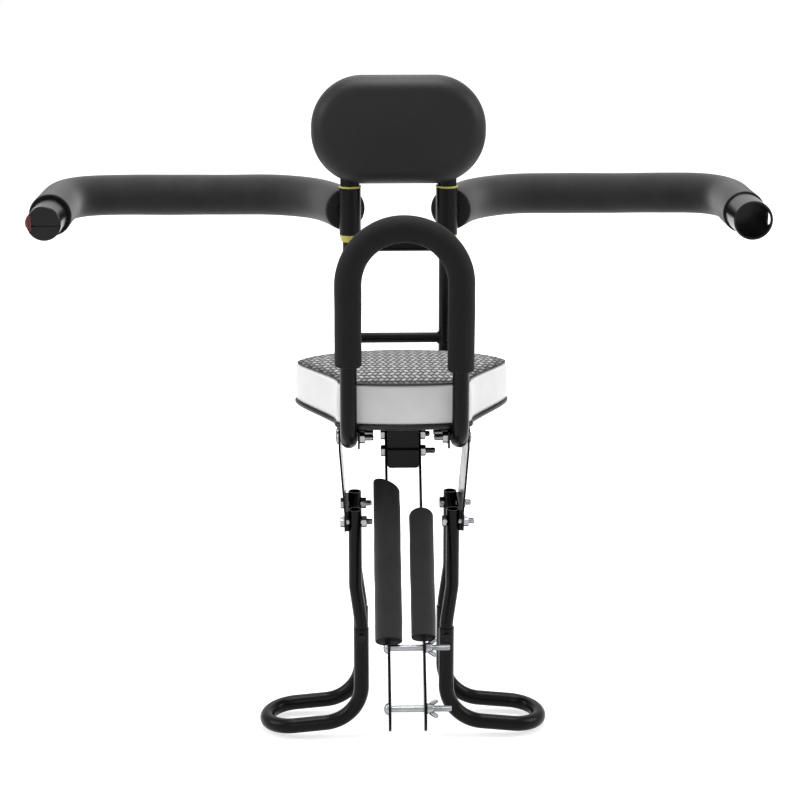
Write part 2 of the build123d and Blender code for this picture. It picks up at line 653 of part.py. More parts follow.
def bracket_nuts():
    nuts = []
    for along in (0, -BRACKET_BOLT_UP):
        y, z = plate_point(along)
        nut = hex_x(PLATE_OUTER_X, PLATE_OUTER_X + NUT_HIGH, y, z)
        nuts.append(nut - rod_x(BOLT_D, PLATE_OUTER_X, PLATE_OUTER_X + NUT_HIGH, y, z))
    return group(nuts)


def clamp_plate(side):
    """Flat steel strip with round ends and four bolt holes."""
    middle = (PLATE_LONG - PLATE_HEAD) / 2
    outline = Pos(middle, 0) * SlotOverall(PLATE_LONG + PLATE_HEAD, PLATE_WIDE)
    for along in (0, -BRACKET_BOLT_UP, *WING_BOLT_AT.values()):
        outline -= Pos(along, 0) * Circle(HOLE_R)
    face = plate_plane(side * PLATE_HALF)
    return extrude(face * outline, amount=PLATE_THICK / 2, both=True)


def clamp_foam(side):
    """Foam sleeve slit for its plate; the left one is cut off at a slant at the top."""
    face = plate_plane(side * PLATE_HALF)
    radius = CLAMP_FOAM_D[side] / 2
    slant = tan(radians(CLAMP_FOAM_SLANT_DEG[side])) * radius
    top = CLAMP_FOAM_TOP[side]
    end = CLAMP_FOAM_END[side]
    ends = [(end, radius), (end, -radius)]
    long_view = Polyline((top - slant, radius), *ends, (top + slant, -radius), close=True)
    side_face = Plane(origin=face.origin, x_dir=face.x_dir, z_dir=face.y_dir)
    slab = extrude(side_face * make_face(long_view), amount=CLAMP_FOAM_D[side], both=True)
    axis = Plane(origin=face.origin, x_dir=face.z_dir, z_dir=face.x_dir)
    sleeve = extrude(axis * Circle(radius), amount=end)
    slit = Rectangle(PLATE_THICK + 2 * SLIP_FIT, PLATE_WIDE + 2 * SLIP_FIT)
    return (sleeve & slab) - extrude(axis * slit, amount=end)


def wing_bolts():
    """Dome-headed bolts across the clamp plates."""
    bolts = []
    for along in WING_BOLT_AT.values():
        y, z = plate_point(along)
        head = rod_x(WING_HEAD_D, -PLATE_OUTER_X - WING_HEAD_HIGH, -PLATE_OUTER_X, y, z)
        head = fillet(head.faces().sort_by(Axis.X)[0].edges(), WING_HEAD_HIGH * 0.8)
        bolts.append(head + rod_x(BOLT_D, -PLATE_OUTER_X, WING_BOLT_END_X, y, z))
    return group(bolts)


def wing_nut(along):
    """Nut with two ears that lean away from the plate."""
    y, z = plate_point(along)
    seat_x = PLATE_OUTER_X + BODY_GAP
    nut = rod_x(WING_NUT_D, seat_x, seat_x + WING_NUT_LONG, y, z)
    lean = radians(PLATE_LEAN_DEG)
    ear_plane = Plane(origin=(seat_x, y, z), x_dir=(1, 0, 0), z_dir=(0, cos(lean), -sin(lean)))
    root = BOLT_R + BOLT_HOLE_GAP
    for way in (-1, 1):
        ear = Polyline(
            (WING_THICK / 2, way * root),
            (WING_THICK / 2 + WING_BROAD, way * root),
            (WING_LEAN + WING_BROAD, way * WING_REACH),
            (WING_LEAN, way * WING_REACH),
            close=True,
        )
        nut += extrude(ear_plane * make_face(ear), amount=WING_THICK / 2, both=True)
    bore_end = seat_x + WING_LEAN + WING_BROAD
    return nut - rod_x(BOLT_D + 2 * RUN_FIT, seat_x, bore_end, y, z)


def hanger_plate(side):
    """Flat plate from the rail's outer side, joggled inwards to the footrest legs."""
    top_x, foot_x = HANGER_TOP_X, HANGER_FOOT_X
    bends = (HANGER_TOP_Z - HANGER_STRAIGHT, HANGER_BOTTOM_Z + HANGER_FOOT)
    inner = [(top_x, HANGER_TOP_Z), (top_x, bends[0]), (foot_x, bends[1]), (foot_x, HANGER_BOTTOM_Z)]
    outer = [(x + HANGER_THICK, z) for x, z in reversed(inner)]
    front_view = make_face(Polyline(*[(side * x, z) for x, z in inner + outer], close=True))
    plate = extrude(Plane.XZ * front_view, amount=HANGER_WIDE / 2, both=True)
    plate = Pos(0, HANGER_Y, 0) * plate
    high = HANGER_TOP_Z - HANGER_BOTTOM_Z
    side_view = Plane(origin=(0, HANGER_Y, HANGER_BOTTOM_Z + high / 2), x_dir=(0, 1, 0), z_dir=(1, 0, 0))
    frame = RectangleRounded(HANGER_WIDE, high, HANGER_CORNER_R)
    plate = plate & extrude(side_view * frame, amount=2 * top_x, both=True)
    return plate - rail_holes() - leg_holes()


def leg_holes():
    """Cross holes for the leg bolts in hangers, spacers and legs."""
    reach = HANGER_TOP_X + HANGER_THICK
    return [rod_x(2 * HOLE_R, -reach, reach, y, LEG_BOLT_Z) for y in LEG_Y.values()]


def backing_tab(side):
    """Small plate on the rail's inner side that spreads the load of its two nuts."""
    x = (side * (TAB_OUTER_X - TAB_THICK), side * TAB_OUTER_X)
    return block(x, TAB_Y, TAB_Z) - rail_holes()


def hanger_bolts():
    """Low round heads outside the hangers, threads inside the rails."""
    bolts = []
    for side in SIDES.values():
        seat_x = side * (HANGER_TOP_X + HANGER_THICK)
        head_x = seat_x + side * CARRIAGE_HEAD_HIGH
        for y in RAIL_BOLT_Y:
            head = rod_x(CARRIAGE_HEAD_D, seat_x, head_x, y, RAIL_Z)
            crown = head.faces().sort_by(Axis.X)[-1 if side > 0 else 0]
            head = fillet(crown.edges(), CARRIAGE_HEAD_HIGH * 0.7)
            bolts.append(head + rod_x(BOLT_D, seat_x, side * RAIL_BOLT_INNER_X, y, RAIL_Z))
    return group(bolts)


def hanger_nuts():
    nuts = []
    for side in SIDES.values():
        seat_x = side * (TAB_OUTER_X - TAB_THICK)
        end_x = seat_x - side * NUT_HIGH
        for y in RAIL_BOLT_Y:
            nut = hex_x(seat_x, end_x, y, RAIL_Z)
            nuts.append(nut - rod_x(BOLT_D, seat_x, end_x, y, RAIL_Z))
    return group(nuts)


def spacer(side):
    """Strip between a hanger and its two footrest legs."""
    x = (side * LEG_OUTER_X, side * HANGER_FOOT_X)
    half = HANGER_WIDE / 2 - HANGER_CORNER_R
    strip = block(x, (HANGER_Y - half, HANGER_Y + half), (HANGER_BOTTOM_Z, SPACER_TOP_Z))
    return strip - leg_holes()


def footrest_leg(side, y):
    """Upper leg of a footrest, kinked inwards, open at the top."""
    kink, foot = LEG_KINK_Z
    points = [
        (side * LEG_TOP_HALF, y, LEG_TOP_Z),
        (side * LEG_TOP_HALF, y, kink),
        (side * LEG_FOOT_HALF, y, foot),
        (side * LEG_FOOT_HALF, y, LEG_END_Z),
    ]
    return bent_tube(points, [LEG_BEND_R, LEG_BEND_R], LEG_D, LEG_D - 2 * LEG_WALL) - leg_holes()


def foot_loop(side):
    """Stirrup tube that telescopes over both legs and loops outwards under the foot."""
    front, rear = LEG_Y["front"], LEG_Y["rear"]
    inner_x, outer_x = side * LEG_FOOT_HALF, side * LOOP_HALF
    outer_z = LOOP_Z - LOOP_DROOP
    points = [
        (inner_x, front, LOOP_TOP_Z),
        (inner_x, front, LOOP_Z),
        (outer_x, front, outer_z),
        (outer_x, rear, outer_z),
        (inner_x, rear, LOOP_Z),
        (inner_x, rear, LOOP_TOP_Z),
    ]
    turn_r = (LEG_SPACING - LOOP_END_FLAT) / 2
    radii = [LOOP_BEND_R, turn_r, turn_r, LOOP_BEND_R]
    loop = bent_tube(points, radii, LOOP_D, LOOP_D - 2 * LOOP_WALL)
    for y in LEG_Y.values():
        loop -= loop_screw_hole(side, y)
    return loop


def loop_screw_hole(side, y):
    z = LOOP_TOP_Z - LOOP_SCREW_DROP
    return rod_y(LOOP_SCREW_SHANK_D, y - LOOP_D, y, side * LEG_FOOT_HALF, z)


def footrest_screws():
    """Set screws that fix the loops on the legs."""
    z = LOOP_TOP_Z - LOOP_SCREW_DROP
    shank_end = LEG_D / 2 + SLIP_FIT / 2
    screws = []
    for side in SIDES.values():
        x = side * LEG_FOOT_HALF
        for y in LEG_Y.values():
            seat_y = y - LOOP_D / 2
            head = rod_y(LOOP_SCREW_D, seat_y - LOOP_SCREW_HEAD, seat_y, x, z)
            screws.append(head + rod_y(LOOP_SCREW_SHANK_D, seat_y, y - shank_end, x, z))
    return group(screws)


def leg_bolt_span(side):
    """Faces that a leg bolt clamps, from its head to its nut; every head is on the left."""
    inner = LEG_TOP_HALF - LEG_D / 2
    outer = HANGER_FOOT_X + HANGER_THICK
    return (-outer, -inner) if side < 0 else (inner, outer)


def footrest_bolts():
    bolts = []
    for side in SIDES.values():
        head_x, nut_x = leg_bolt_span(side)
        for y in LEG_Y.values():
            head = hex_x(head_x - BOLT_HEAD_HIGH, head_x, y, LEG_BOLT_Z)
            shank = rod_x(BOLT_D, head_x, nut_x + NUT_HIGH + LEG_BOLT_TAIL, y, LEG_BOLT_Z)
            bolts.append(head + shank)
    return group(bolts)


def footrest_nuts():
    nuts = []
    for side in SIDES.values():
        nut_x = leg_bolt_span(side)[1]
        for y in LEG_Y.values():
            nut = hex_x(nut_x, nut_x + NUT_HIGH, y, LEG_BOLT_Z)
            nuts.append(nut - rod_x(BOLT_D, nut_x, nut_x + NUT_HIGH, y, LEG_BOLT_Z))
    return group(nuts)


def build_nodes():
    """Every piece by the name of its node."""
    nodes = {
        "front_hoop": front_hoop(),
        "back_rung_upper": back_rung(RUNG_UPPER_Z),
        "back_rung_lower": back_rung(RUNG_LOWER_Z),
        "hoop_foam": hoop_foam(),
        "saddle_base": saddle_base(),
        "saddle_side_band": saddle_side_band(),
        "saddle_top_panel": saddle_top_panel(),
        "saddle_piping": saddle_piping(),
        "saddle_bolts": saddle_bolts(),
        "backrest_pad": backrest_pad(),
        "latch_plug": latch_plug(),
        "latch_button": latch_button(),
        "latch_spring": latch_spring(),
        "latch_socket": latch_socket(),
        "mount_bracket": mount_bracket(),
        "cradle_block": cradle_block(),
        "bracket_bolts": bracket_bolts(),
        "bracket_nuts": bracket_nuts(),
        "wing_bolts": wing_bolts(),
        "hanger_bolts": hanger_bolts(),
        "hanger_nuts": hanger_nuts(),
        "footrest_bolts": footrest_bolts(),
        "footrest_nuts": footrest_nuts(),
        "footrest_screws": footrest_screws(),
    }
    for place, y in SUPPORT_Y.items():
        nodes[f"seat_support_{place}"] = seat_support(y)
    for place, along in WING_BOLT_AT.items():
        nodes[f"wing_nut_{place}"] = wing_nut(along)
    for name, side in SIDES.items():
        nodes[f"back_post_{name}"] = back_post(side)
        nodes[f"backrest_socket_{name}"] = pad_socket(side)
        nodes[f"upper_bush_{name}"] = upper_bush(side)
        nodes[f"lower_bush_{name}"] = lower_bush(side)
        nodes[f"arm_sleeve_{name}"] = arm_sleeve(side)
        nodes[f"arm_tube_{name}"] = arm_tube(side)
        nodes[f"arm_foam_{name}"] = arm_foam(side)
        nodes[f"clamp_plate_{name}"] = clamp_plate(side)
        nodes[f"clamp_foam_{name}"] = clamp_foam(side)
        nodes[f"hanger_plate_{name}"] = hanger_plate(side)
        nodes[f"backing_tab_{name}"] = backing_tab(side)
        nodes[f"footrest_spacer_{name}"] = spacer(side)
        nodes[f"foot_loop_{name}"] = foot_loop(side)
        for place, y in LEG_Y.items():
            nodes[f"footrest_leg_{name}_{place}"] = footrest_leg(side, y)
    return nodes


os.makedirs("parts", exist_ok=True)
for node, shape in build_nodes().items():
    export_step(shape, f"parts/{node}.step")
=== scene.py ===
"""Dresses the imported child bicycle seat: foam, pads, woven saddle, threads, welds and finishes.

Lengths are metres, as everywhere in the scene; MM turns millimetres into them.
"""

from math import cos, pi, radians, sin, tan

import bmesh
import bpy
import numpy as np
from bpy.props import FloatProperty, FloatVectorProperty, PointerProperty
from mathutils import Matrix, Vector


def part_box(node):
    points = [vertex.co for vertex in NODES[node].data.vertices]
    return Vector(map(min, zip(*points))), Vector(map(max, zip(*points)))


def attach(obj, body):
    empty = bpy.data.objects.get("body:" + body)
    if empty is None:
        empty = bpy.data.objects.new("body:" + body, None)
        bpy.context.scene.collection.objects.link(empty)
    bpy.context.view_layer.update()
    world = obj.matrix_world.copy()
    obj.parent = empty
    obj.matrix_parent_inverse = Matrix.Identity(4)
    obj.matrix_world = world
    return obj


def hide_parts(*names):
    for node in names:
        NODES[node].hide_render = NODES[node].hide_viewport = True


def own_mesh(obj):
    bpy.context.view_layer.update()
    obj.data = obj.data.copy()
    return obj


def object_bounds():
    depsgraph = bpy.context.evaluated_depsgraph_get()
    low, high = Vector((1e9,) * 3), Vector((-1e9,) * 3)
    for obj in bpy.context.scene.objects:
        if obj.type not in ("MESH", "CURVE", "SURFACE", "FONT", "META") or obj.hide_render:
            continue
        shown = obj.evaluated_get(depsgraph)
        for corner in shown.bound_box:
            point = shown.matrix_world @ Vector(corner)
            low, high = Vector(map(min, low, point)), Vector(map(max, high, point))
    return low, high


bl_info = {
    "name": "Child bicycle seat",
    "version": (1, 0, 0),
    "blender": (4, 5, 0),
    "location": "View3D > Sidebar > Child seat",
    "description": "Builds the soft pieces, hardware and finishes of a front-mounted child bicycle seat",
    "category": "Object",
}

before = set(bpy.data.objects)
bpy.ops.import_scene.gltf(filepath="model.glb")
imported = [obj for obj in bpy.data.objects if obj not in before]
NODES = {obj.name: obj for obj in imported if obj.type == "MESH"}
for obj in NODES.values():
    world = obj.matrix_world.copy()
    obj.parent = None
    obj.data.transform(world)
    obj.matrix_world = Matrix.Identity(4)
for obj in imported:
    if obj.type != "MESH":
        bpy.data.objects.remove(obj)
CAD_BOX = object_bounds()
MM = 0.001
SIDES = {"left": -1, "right": 1}
UP = np.array([0, 0, 1.0])

# Back posts, rungs and guard arms
POST_X, POST_Y, POST_R = 50 * MM, 165 * MM, 8 * MM
RUNG_R, RUNG_LEVELS = 5.5 * MM, (184 * MM, 86 * MM)
ARM_BAR_Y, ARM_TIP_X, ARM_TIP_Y, ARM_Z = 273 * MM, 357 * MM, 150 * MM, 220.5 * MM
ARM_SPLAY, ARM_BENDS = radians(20), (90 * MM, 42 * MM)
ARM_TUBE_R, ARM_SLEEVE_R = 9.5 * MM, 11.2 * MM

# Front hoop
HOOP_X, HOOP_Y, HOOP_TOP_Z, HOOP_BEND = 53 * MM, -65 * MM, 245 * MM, 52.8 * MM
HOOP_FOAM_END_LEFT, HOOP_FOAM_END_RIGHT = 115 * MM, 110 * MM

# Clamp plates, which lean forward from the cradle bolt
CLAMP_LEAN = radians(40)
CLAMP_WAY = np.array([0, -sin(CLAMP_LEAN), -cos(CLAMP_LEAN)])
CLAMP_BACK = np.array([0, cos(CLAMP_LEAN), -sin(CLAMP_LEAN)])
CRADLE_BOLT = np.array([0, 0, 12 * MM])
PLATE_X, PLATE_OUTER = 16.5 * MM, 17.75 * MM
WING_BOLTS = {"upper": 202 * MM, "lower": 261 * MM}

# Saddle
SADDLE_FRONT, SADDLE_REAR = -65 * MM, 119 * MM
BAND_LOW, BAND_TOP, TOP_FALL = 55 * MM, 93 * MM, 8 * MM
PANEL_MIDDLE, PANEL_INSET = np.array([0, 32 * MM]), -3 * MM
PANEL_EDGE_LIFT = 1.4 * MM
OUTLINE_POINTS = 720

# Bolts and nuts
BOLT_D, NUT_BORE_R = 6 * MM, 3.05 * MM
NUT_FLATS, NUT_HIGH, HEAD_HIGH = 10 * MM, 5 * MM, 4 * MM
LEG_BOLT_YS, LEG_BOLT_Z = (-43.5 * MM, 13.5 * MM), -46.5 * MM
RAIL_BOLT_YS, RAIL_BOLT_Z = (-36 * MM, -18 * MM), 36 * MM
HARDWARE_POINTS = 36

# Edges that turn by more than this stay sharp, in degrees
FOAM_SHARP, CAST_SHARP, BOLT_SHARP = 50, 40, 30

# Share of the foam edge's rounding that the hoop's and the clamp plates' foam has
CLEAN_CUT = 0.6


def length(name, description, millimetres):
    """A length property whose default is given in millimetres."""
    return FloatProperty(
        name=name, description=description, default=millimetres * MM, unit="LENGTH", precision=5
    )


def linear(hex_value):
    """An sRGB hex word as a linear RGBA colour."""
    srgb = np.array([int(hex_value[i : i + 2], 16) for i in (0, 2, 4)]) / 255
    flat = np.where(srgb <= 0.04045, srgb / 12.92, ((srgb + 0.055) / 1.055) ** 2.4)
    return (*flat.tolist(), 1.0)


def colour(name, description, hex_value):
    """A colour property whose default is given as an sRGB hex word."""
    return FloatVectorProperty(
        name=name, description=description, default=linear(hex_value), subtype="COLOR", size=4, min=0, max=1
    )


class SeatSizes(bpy.types.PropertyGroup):
    """Sizes of the pieces that are added to the frame."""

    arm_foam_d: length("Arm foam", "Outer diameter of the foam on the guard arms", 43.6)
    hoop_foam_d: length("Hoop foam", "Outer diameter of the foam on the front hoop", 25.5)
    foam_edge: length("Foam edge", "Rounding at the cut ends of the foam", 2.2)
    pad_edge: length("Pad edge", "Rounding round the back pad's face", 19.0)
    pad_crown: length("Pad crown", "How far the back pad's face stands out in its middle", 4.0)
    band_roll: length("Band roll", "Radius of the side band's rolled top edge", 4.0)
    bead_d: length("Bead", "Diameter of the dark bead on the saddle's seam", 2.4)
    panel_crown: length("Panel crown", "How far the woven panel may swell", 3.0)
    strand_wide: length("Strand width", "Width of one strand end of the woven panel", 5.4)
    strand_long: length("Strand length", "Length of one strand end of the woven panel", 9.4)
    pitch: length("Thread pitch", "Pitch of the bolts' threads", 1.0)


class SeatColours(bpy.types.PropertyGroup):
    """Colours of the finishes."""

    steel: colour("Powder coat", "Gloss black powder coat on tubes and plates", "060607")
    foam: colour("Foam", "Closed-cell foam on the arms and the clamp plates", "2a2a2b")
    hoop_foam: colour("Hoop foam", "Smooth foam on the front hoop", "1a1a1b")
    cut_foam: colour("Cut foam", "Open cells at the sleeves' cut ends", "0c0c0d")
    pad: colour("Back pad", "Moulded polyurethane skin", "080809")
    vinyl: colour("Side band", "White vinyl round the saddle", "e3e4e3")
    # The dark strand colour fills the real gaps and is also painted shade on the strands' rounded sides and
    # at the panel's edge; the light one is the strands' own grey at their tops
    strand_dark: colour("Dark strand", "Gaps between the strands of the woven panel", "0a0a0b")
    strand_light: colour("Light strand", "Grey strands of the woven panel", "bbbcbe")
    bead: colour("Bead", "Vinyl bead on the seam", "151516")
    base: colour("Base", "Moulded lip under the saddle", "101011")
    zinc: colour("Zinc", "Zinc plate on bolts and nuts", "96979a")
    spring: colour("Spring", "Leaf spring behind the button", "8f9093")
    oxide: colour("Black oxide", "Footrest screws", "232324")
    nylon: colour("Nylon", "Bushes at the arms' sleeves", "bab45a")
    latch: colour("Latch", "Textured plastic of plug and socket", "09090a")
    button: colour("Button", "Release button", "6e1a1b")


def sizes():
    """The sizes as they are set in the scene."""
    return bpy.context.scene.seat_sizes


def grey(value):
    """A neutral linear colour."""
    return (value, value, value, 1.0)


def add(tree, kind, settings=None, inputs=None):
    """Adds one shader node with its settings, then fills or links its inputs; returns the node.

    An input is a number, a colour or another node's output socket.  Ramp stops are (place, colour) pairs.
    """
    node = tree.nodes.new("ShaderNode" + kind)
    for key, value in (settings or {}).items():
        if key == "stops":
            elements = node.color_ramp.elements
            while len(elements) < len(value):
                elements.new(0.5)
            for element, (place, shade) in zip(elements, value):
                element.position = place
                element.color = shade
        else:
            setattr(node, key, value)
    for key, value in (inputs or {}).items():
        socket = node.inputs[key]
        if isinstance(value, bpy.types.NodeSocket):
            tree.links.new(value, socket)
        else:
            socket.default_value = value
    return node


def per_mm(millimetres):
    """Scale of a noise or cell pattern whose features are that many millimetres wide."""
    return 1.0 / (millimetres * MM)


def noise(tree, place, millimetres, detail):
    """Cloudy pattern with features that many millimetres wide."""
    scale = per_mm(millimetres)
    return add(tree, "TexNoise", None, {"Vector": place, "Scale": scale, "Detail": detail}).outputs["Fac"]


def cells(tree, place, millimetres, feature):
    """Distance to the nearest of scattered cells that many millimetres wide."""
    inputs = {"Vector": place, "Scale": per_mm(millimetres)}
    return add(tree, "TexVoronoi", {"feature": feature}, inputs).outputs["Distance"]


def spread(tree, value, low, high, start=0.0, end=1.0):
    """Takes a value between start and end to one between low and high."""
    inputs = {"Value": value, "From Min": start, "From Max": end, "To Min": low, "To Max": high}
    return add(tree, "MapRange", None, inputs).outputs["Result"]


def ramp(tree, value, *stops):
    """Colour of a value between the stops, which are (place, colour) pairs."""
    return add(tree, "ValToRGB", {"stops": stops}, {"Fac": value}).outputs["Color"]


def times(tree, one, other):
    """Product of two colours."""
    settings = {"data_type": "RGBA", "blend_type": "MULTIPLY"}
    return add(tree, "Mix", settings, {0: 1.0, 6: one, 7: other}).outputs[2]


def bumped(tree, height, strength, deep):
    """Normal of a surface that a pattern raises, deep metres at full height."""
    inputs = {"Strength": strength, "Distance": deep, "Height": height}
    return add(tree, "Bump", None, inputs).outputs["Normal"]


def finish(name):
    """A finish that was made before."""
    return bpy.data.materials[name]


def new_finish(name):
    """An empty material, and the object coordinates that its patterns read."""
    material = bpy.data.materials.new(name)
    material.use_nodes = True
    tree = material.node_tree
    tree.nodes.clear()
    return tree, add(tree, "TexCoord").outputs["Object"]


def close_finish(tree, shader):
    """Ends a finish with its output."""
    add(tree, "OutputMaterial", None, {"Surface": shader.outputs[0]})


def close_coat(tree, base, roughness, gloss, normal, more=None):
    """Ends a finish that isn't metal: its colour, roughness, reflecting share and normal."""
    inputs = {"Base Color": base, "Roughness": roughness, "Specular IOR Level": gloss, "Normal": normal}
    close_finish(tree, add(tree, "BsdfPrincipled", None, {**inputs, **(more or {})}))


def powder_coat(shade):
    """Polyester powder baked on steel: a deep gloss black whose film flows into a faint orange peel."""
    tree, place = new_finish("black_powder_coat")
    rough = spread(tree, noise(tree, place, 30, 4.0), 0.2, 0.34, 0.35, 0.7)
    peel = bumped(tree, noise(tree, place, 2.2, 2.0), 0.05, 0.4 * MM)
    close_coat(tree, shade, rough, 0.11, peel)


def closed_cell_foam(name, shade, bloom):
    """Nitrile foam tube: dull charcoal with fine pores, and a soft grey bloom at grazing light."""
    tree, place = new_finish(name)
    cloud = ramp(tree, noise(tree, place, 22, 5.0), (0.3, grey(0.72)), (0.72, grey(1.0)))
    pores = bumped(tree, cells(tree, place, 1.3, "F1"), 0.16, 0.4 * MM)
    sheen = {"Sheen Weight": bloom, "Sheen Roughness": 0.45}
    close_coat(tree, times(tree, shade, cloud), 0.72, 0.12, pores, sheen)


def moulded_skin(shade):
    """Integral-skin polyurethane: satin black with the fine leather stipple of its mould."""
    tree, place = new_finish("integral_skin_polyurethane")
    rough = spread(tree, noise(tree, place, 35, 3.0), 0.42, 0.58)
    stipple = bumped(tree, cells(tree, place, 1.5, "SMOOTH_F1"), 0.22, 0.4 * MM)
    close_coat(tree, shade, rough, 0.25, stipple)


def white_vinyl(shade):
    """Calendered white vinyl: smooth, faintly grained, a touch greyer where it is handled."""
    tree, place = new_finish("white_vinyl")
    handled = ramp(tree, noise(tree, place, 28, 3.0), (0.3, grey(0.93)), (0.65, grey(1.0)))
    grain = bumped(tree, noise(tree, place, 1.2, 3.0), 0.08, 0.3 * MM)
    close_coat(tree, times(tree, shade, handled), 0.38, 0.45, grain)


def basket_weave(dark, light):
    """Basket cloth of flat plastic-coated strands: grey strand ends with dark gaps between them.

    The panel's own strand attribute is its woven relief, so every dark gap lies in a gap of the mesh; it
    also carries painted shade towards the panel's edge.
    """
    tree, place = new_finish("basket_weave_cloth")
    relief = add(tree, "Attribute", {"attribute_name": "strand"}).outputs["Fac"]
    # Dark in the real gaps between strands; the ramp up to the light colour also paints shade down each
    # strand end's rounded sides, lightest on its top
    strands = ramp(tree, relief, (0.3, dark), (0.6, grey(0.2)), (0.9, light))
    fibre = noise(tree, place, 0.9, 2.0)
    worn = ramp(tree, fibre, (0.25, grey(0.65)), (0.75, grey(1.0)))
    close_coat(tree, times(tree, strands, worn), 0.55, 0.12, bumped(tree, fibre, 0.2, 0.3 * MM))


def plain_plastic(name, shade, roughness, grain_mm, strength, gloss=0.4):
    """Moulded or extruded plastic: one colour all through, with the fine texture of its tool."""
    tree, place = new_finish(name)
    grain = noise(tree, place, grain_mm, 3.0)
    rough = spread(tree, grain, roughness - 0.06, roughness + 0.06)
    close_coat(tree, shade, rough, gloss, bumped(tree, grain, strength, 0.3 * MM))


def plated_steel(name, shade, roughness, painted_rim_shade=0.9):
    """Plated steel: bright metal with a slightly cloudy film, greyer where it is seen at a slant; that edge
    tint, the last argument, is painted shade at the rims that stands in for dark surroundings in the
    reflection.
    """
    tree, place = new_finish(name)
    cloud = noise(tree, place, 4, 4.0)
    film = ramp(tree, cloud, (0.3, grey(0.82)), (0.7, grey(1.0)))
    metal = {
        "Base Color": times(tree, shade, film),
        "Metallic": 1.0,
        "Roughness": spread(tree, cloud, roughness - 0.08, roughness + 0.1),
        # Edge tint: painted shade where the metal is seen at a slant
        "Specular Tint": grey(painted_rim_shade),
    }
    close_finish(tree, add(tree, "BsdfPrincipled", None, metal))


class SEAT_OT_finishes(bpy.types.Operator):
    """Makes every finish that the pieces use"""

    bl_idname = "seat.finishes"
    bl_label = "Finishes"

    def execute(self, context):
        shades = context.scene.seat_colours
        powder_coat(shades.steel[:])
        closed_cell_foam("closed_cell_foam", shades.foam[:], 0.3)
        closed_cell_foam("smooth_skinned_foam", shades.hoop_foam[:], 0.03)
        closed_cell_foam("cut_foam", shades.cut_foam[:], 0.0)
        moulded_skin(shades.pad[:])
        white_vinyl(shades.vinyl[:])
        basket_weave(shades.strand_dark[:], shades.strand_light[:])
        plain_plastic("dark_vinyl_bead", shades.bead[:], 0.42, 0.7, 0.12)
        plain_plastic("moulded_polypropylene", shades.base[:], 0.26, 1.1, 0.06, 0.25)
        plain_plastic("textured_abs", shades.latch[:], 0.24, 0.8, 0.09, 0.2)
        plain_plastic("moulded_nylon", shades.nylon[:], 0.48, 1.4, 0.15)
        plain_plastic("glossy_red_abs", shades.button[:], 0.22, 2.0, 0.06)
        # Zinc's edge tint of 0.12 paints dark rims on bolts and nuts, standing in for dark surroundings in
        # their reflection
        plated_steel("zinc_plate", shades.zinc[:], 0.24, 0.12)
        plated_steel("spring_steel", shades.spring[:], 0.34)
        plated_steel("black_oxide_steel", shades.oxide[:], 0.4)
        return {"FINISHED"}


# What the frame's own pieces are finished in; all the others are powder coated
FRAME_FINISH = {
    "saddle_bolts": "zinc_plate",
    "footrest_screws": "black_oxide_steel",
    "upper_bush_left": "moulded_nylon",
    "upper_bush_right": "moulded_nylon",
    "lower_bush_left": "moulded_nylon",
    "lower_bush_right": "moulded_nylon",
    "latch_plug": "textured_abs",
    "latch_socket": "textured_abs",
    "latch_button": "glossy_red_abs",
}


class SEAT_OT_frame_finish(bpy.types.Operator):
    """Gives the frame's own pieces their finishes"""

    bl_idname = "seat.frame_finish"
    bl_label = "Frame finishes"

    def execute(self, context):
        for name, node in NODES.items():
            node.data.materials.clear()
            node.data.materials.append(finish(FRAME_FINISH.get(name, "black_powder_coat")))
        return {"FINISHED"}


def full_turn(count):
    """Even angles once round, without the last that meets the first."""
    return np.linspace(0, 2 * pi, count, endpoint=False)


def unit(rows):
    """Vectors of length one in the same directions."""
    return rows / np.linalg.norm(rows, axis=-1, keepdims=True)


def distances(line):
    """How far along a line of points each one lies."""
    return np.concatenate([[0], np.cumsum(np.linalg.norm(np.diff(line, axis=0), axis=1))])


def sampled(at, far, line):
    """Points of a line at given distances, straight between its own points."""
    return np.stack([np.interp(at, far, axis) for axis in line.T], -1)


def points_of(mesh):
    """A mesh's vertices as rows of three."""
    flat = np.empty(len(mesh.vertices) * 3)
    mesh.vertices.foreach_get("co", flat)
    return flat.reshape(-1, 3)


def mixed_grid(points, close_u=False, close_v=False):
    """Vertices and quads between the neighbours of a grid of points."""
    count_u, count_v = points.shape[:2]
    index = np.arange(count_u * count_v).reshape(count_u, count_v)
    index = np.vstack([index, index[:1]]) if close_u else index
    index = np.hstack([index, index[:, :1]]) if close_v else index
    quads = np.stack([index[:-1, :-1], index[1:, :-1], index[1:, 1:], index[:-1, 1:]], -1)
    return points.reshape(-1, 3), quads.reshape(-1, 4)


def make_piece(name, grids, material, body, stands_for=(), sharp_deg=None):
    """One closed mesh from several grids, riding on a body.

    Poles are merged and faces turned outwards before the mesh is kept.
    """
    vertices, faces, start = [], [], 0
    for points, quads in grids:
        vertices.append(points)
        faces.append(quads + start)
        start += len(points)
    mesh = bpy.data.meshes.new(name)
    mesh.from_pydata(np.vstack(vertices).tolist(), [], np.vstack(faces).tolist())
    work = bmesh.new()
    work.from_mesh(mesh)
    bmesh.ops.remove_doubles(work, verts=work.verts, dist=1e-6)
    bmesh.ops.recalc_face_normals(work, faces=work.faces)
    work.to_mesh(mesh)
    work.free()
    mesh.polygons.foreach_set("use_smooth", [True] * len(mesh.polygons))
    if sharp_deg:
        mesh.set_sharp_from_angle(angle=radians(sharp_deg))
    mesh.materials.append(finish(material))
    piece = bpy.data.objects.new(name, mesh)
    bpy.context.scene.collection.objects.link(piece)
    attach(piece, body)
    if stands_for:
        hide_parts(*stands_for)
    return piece


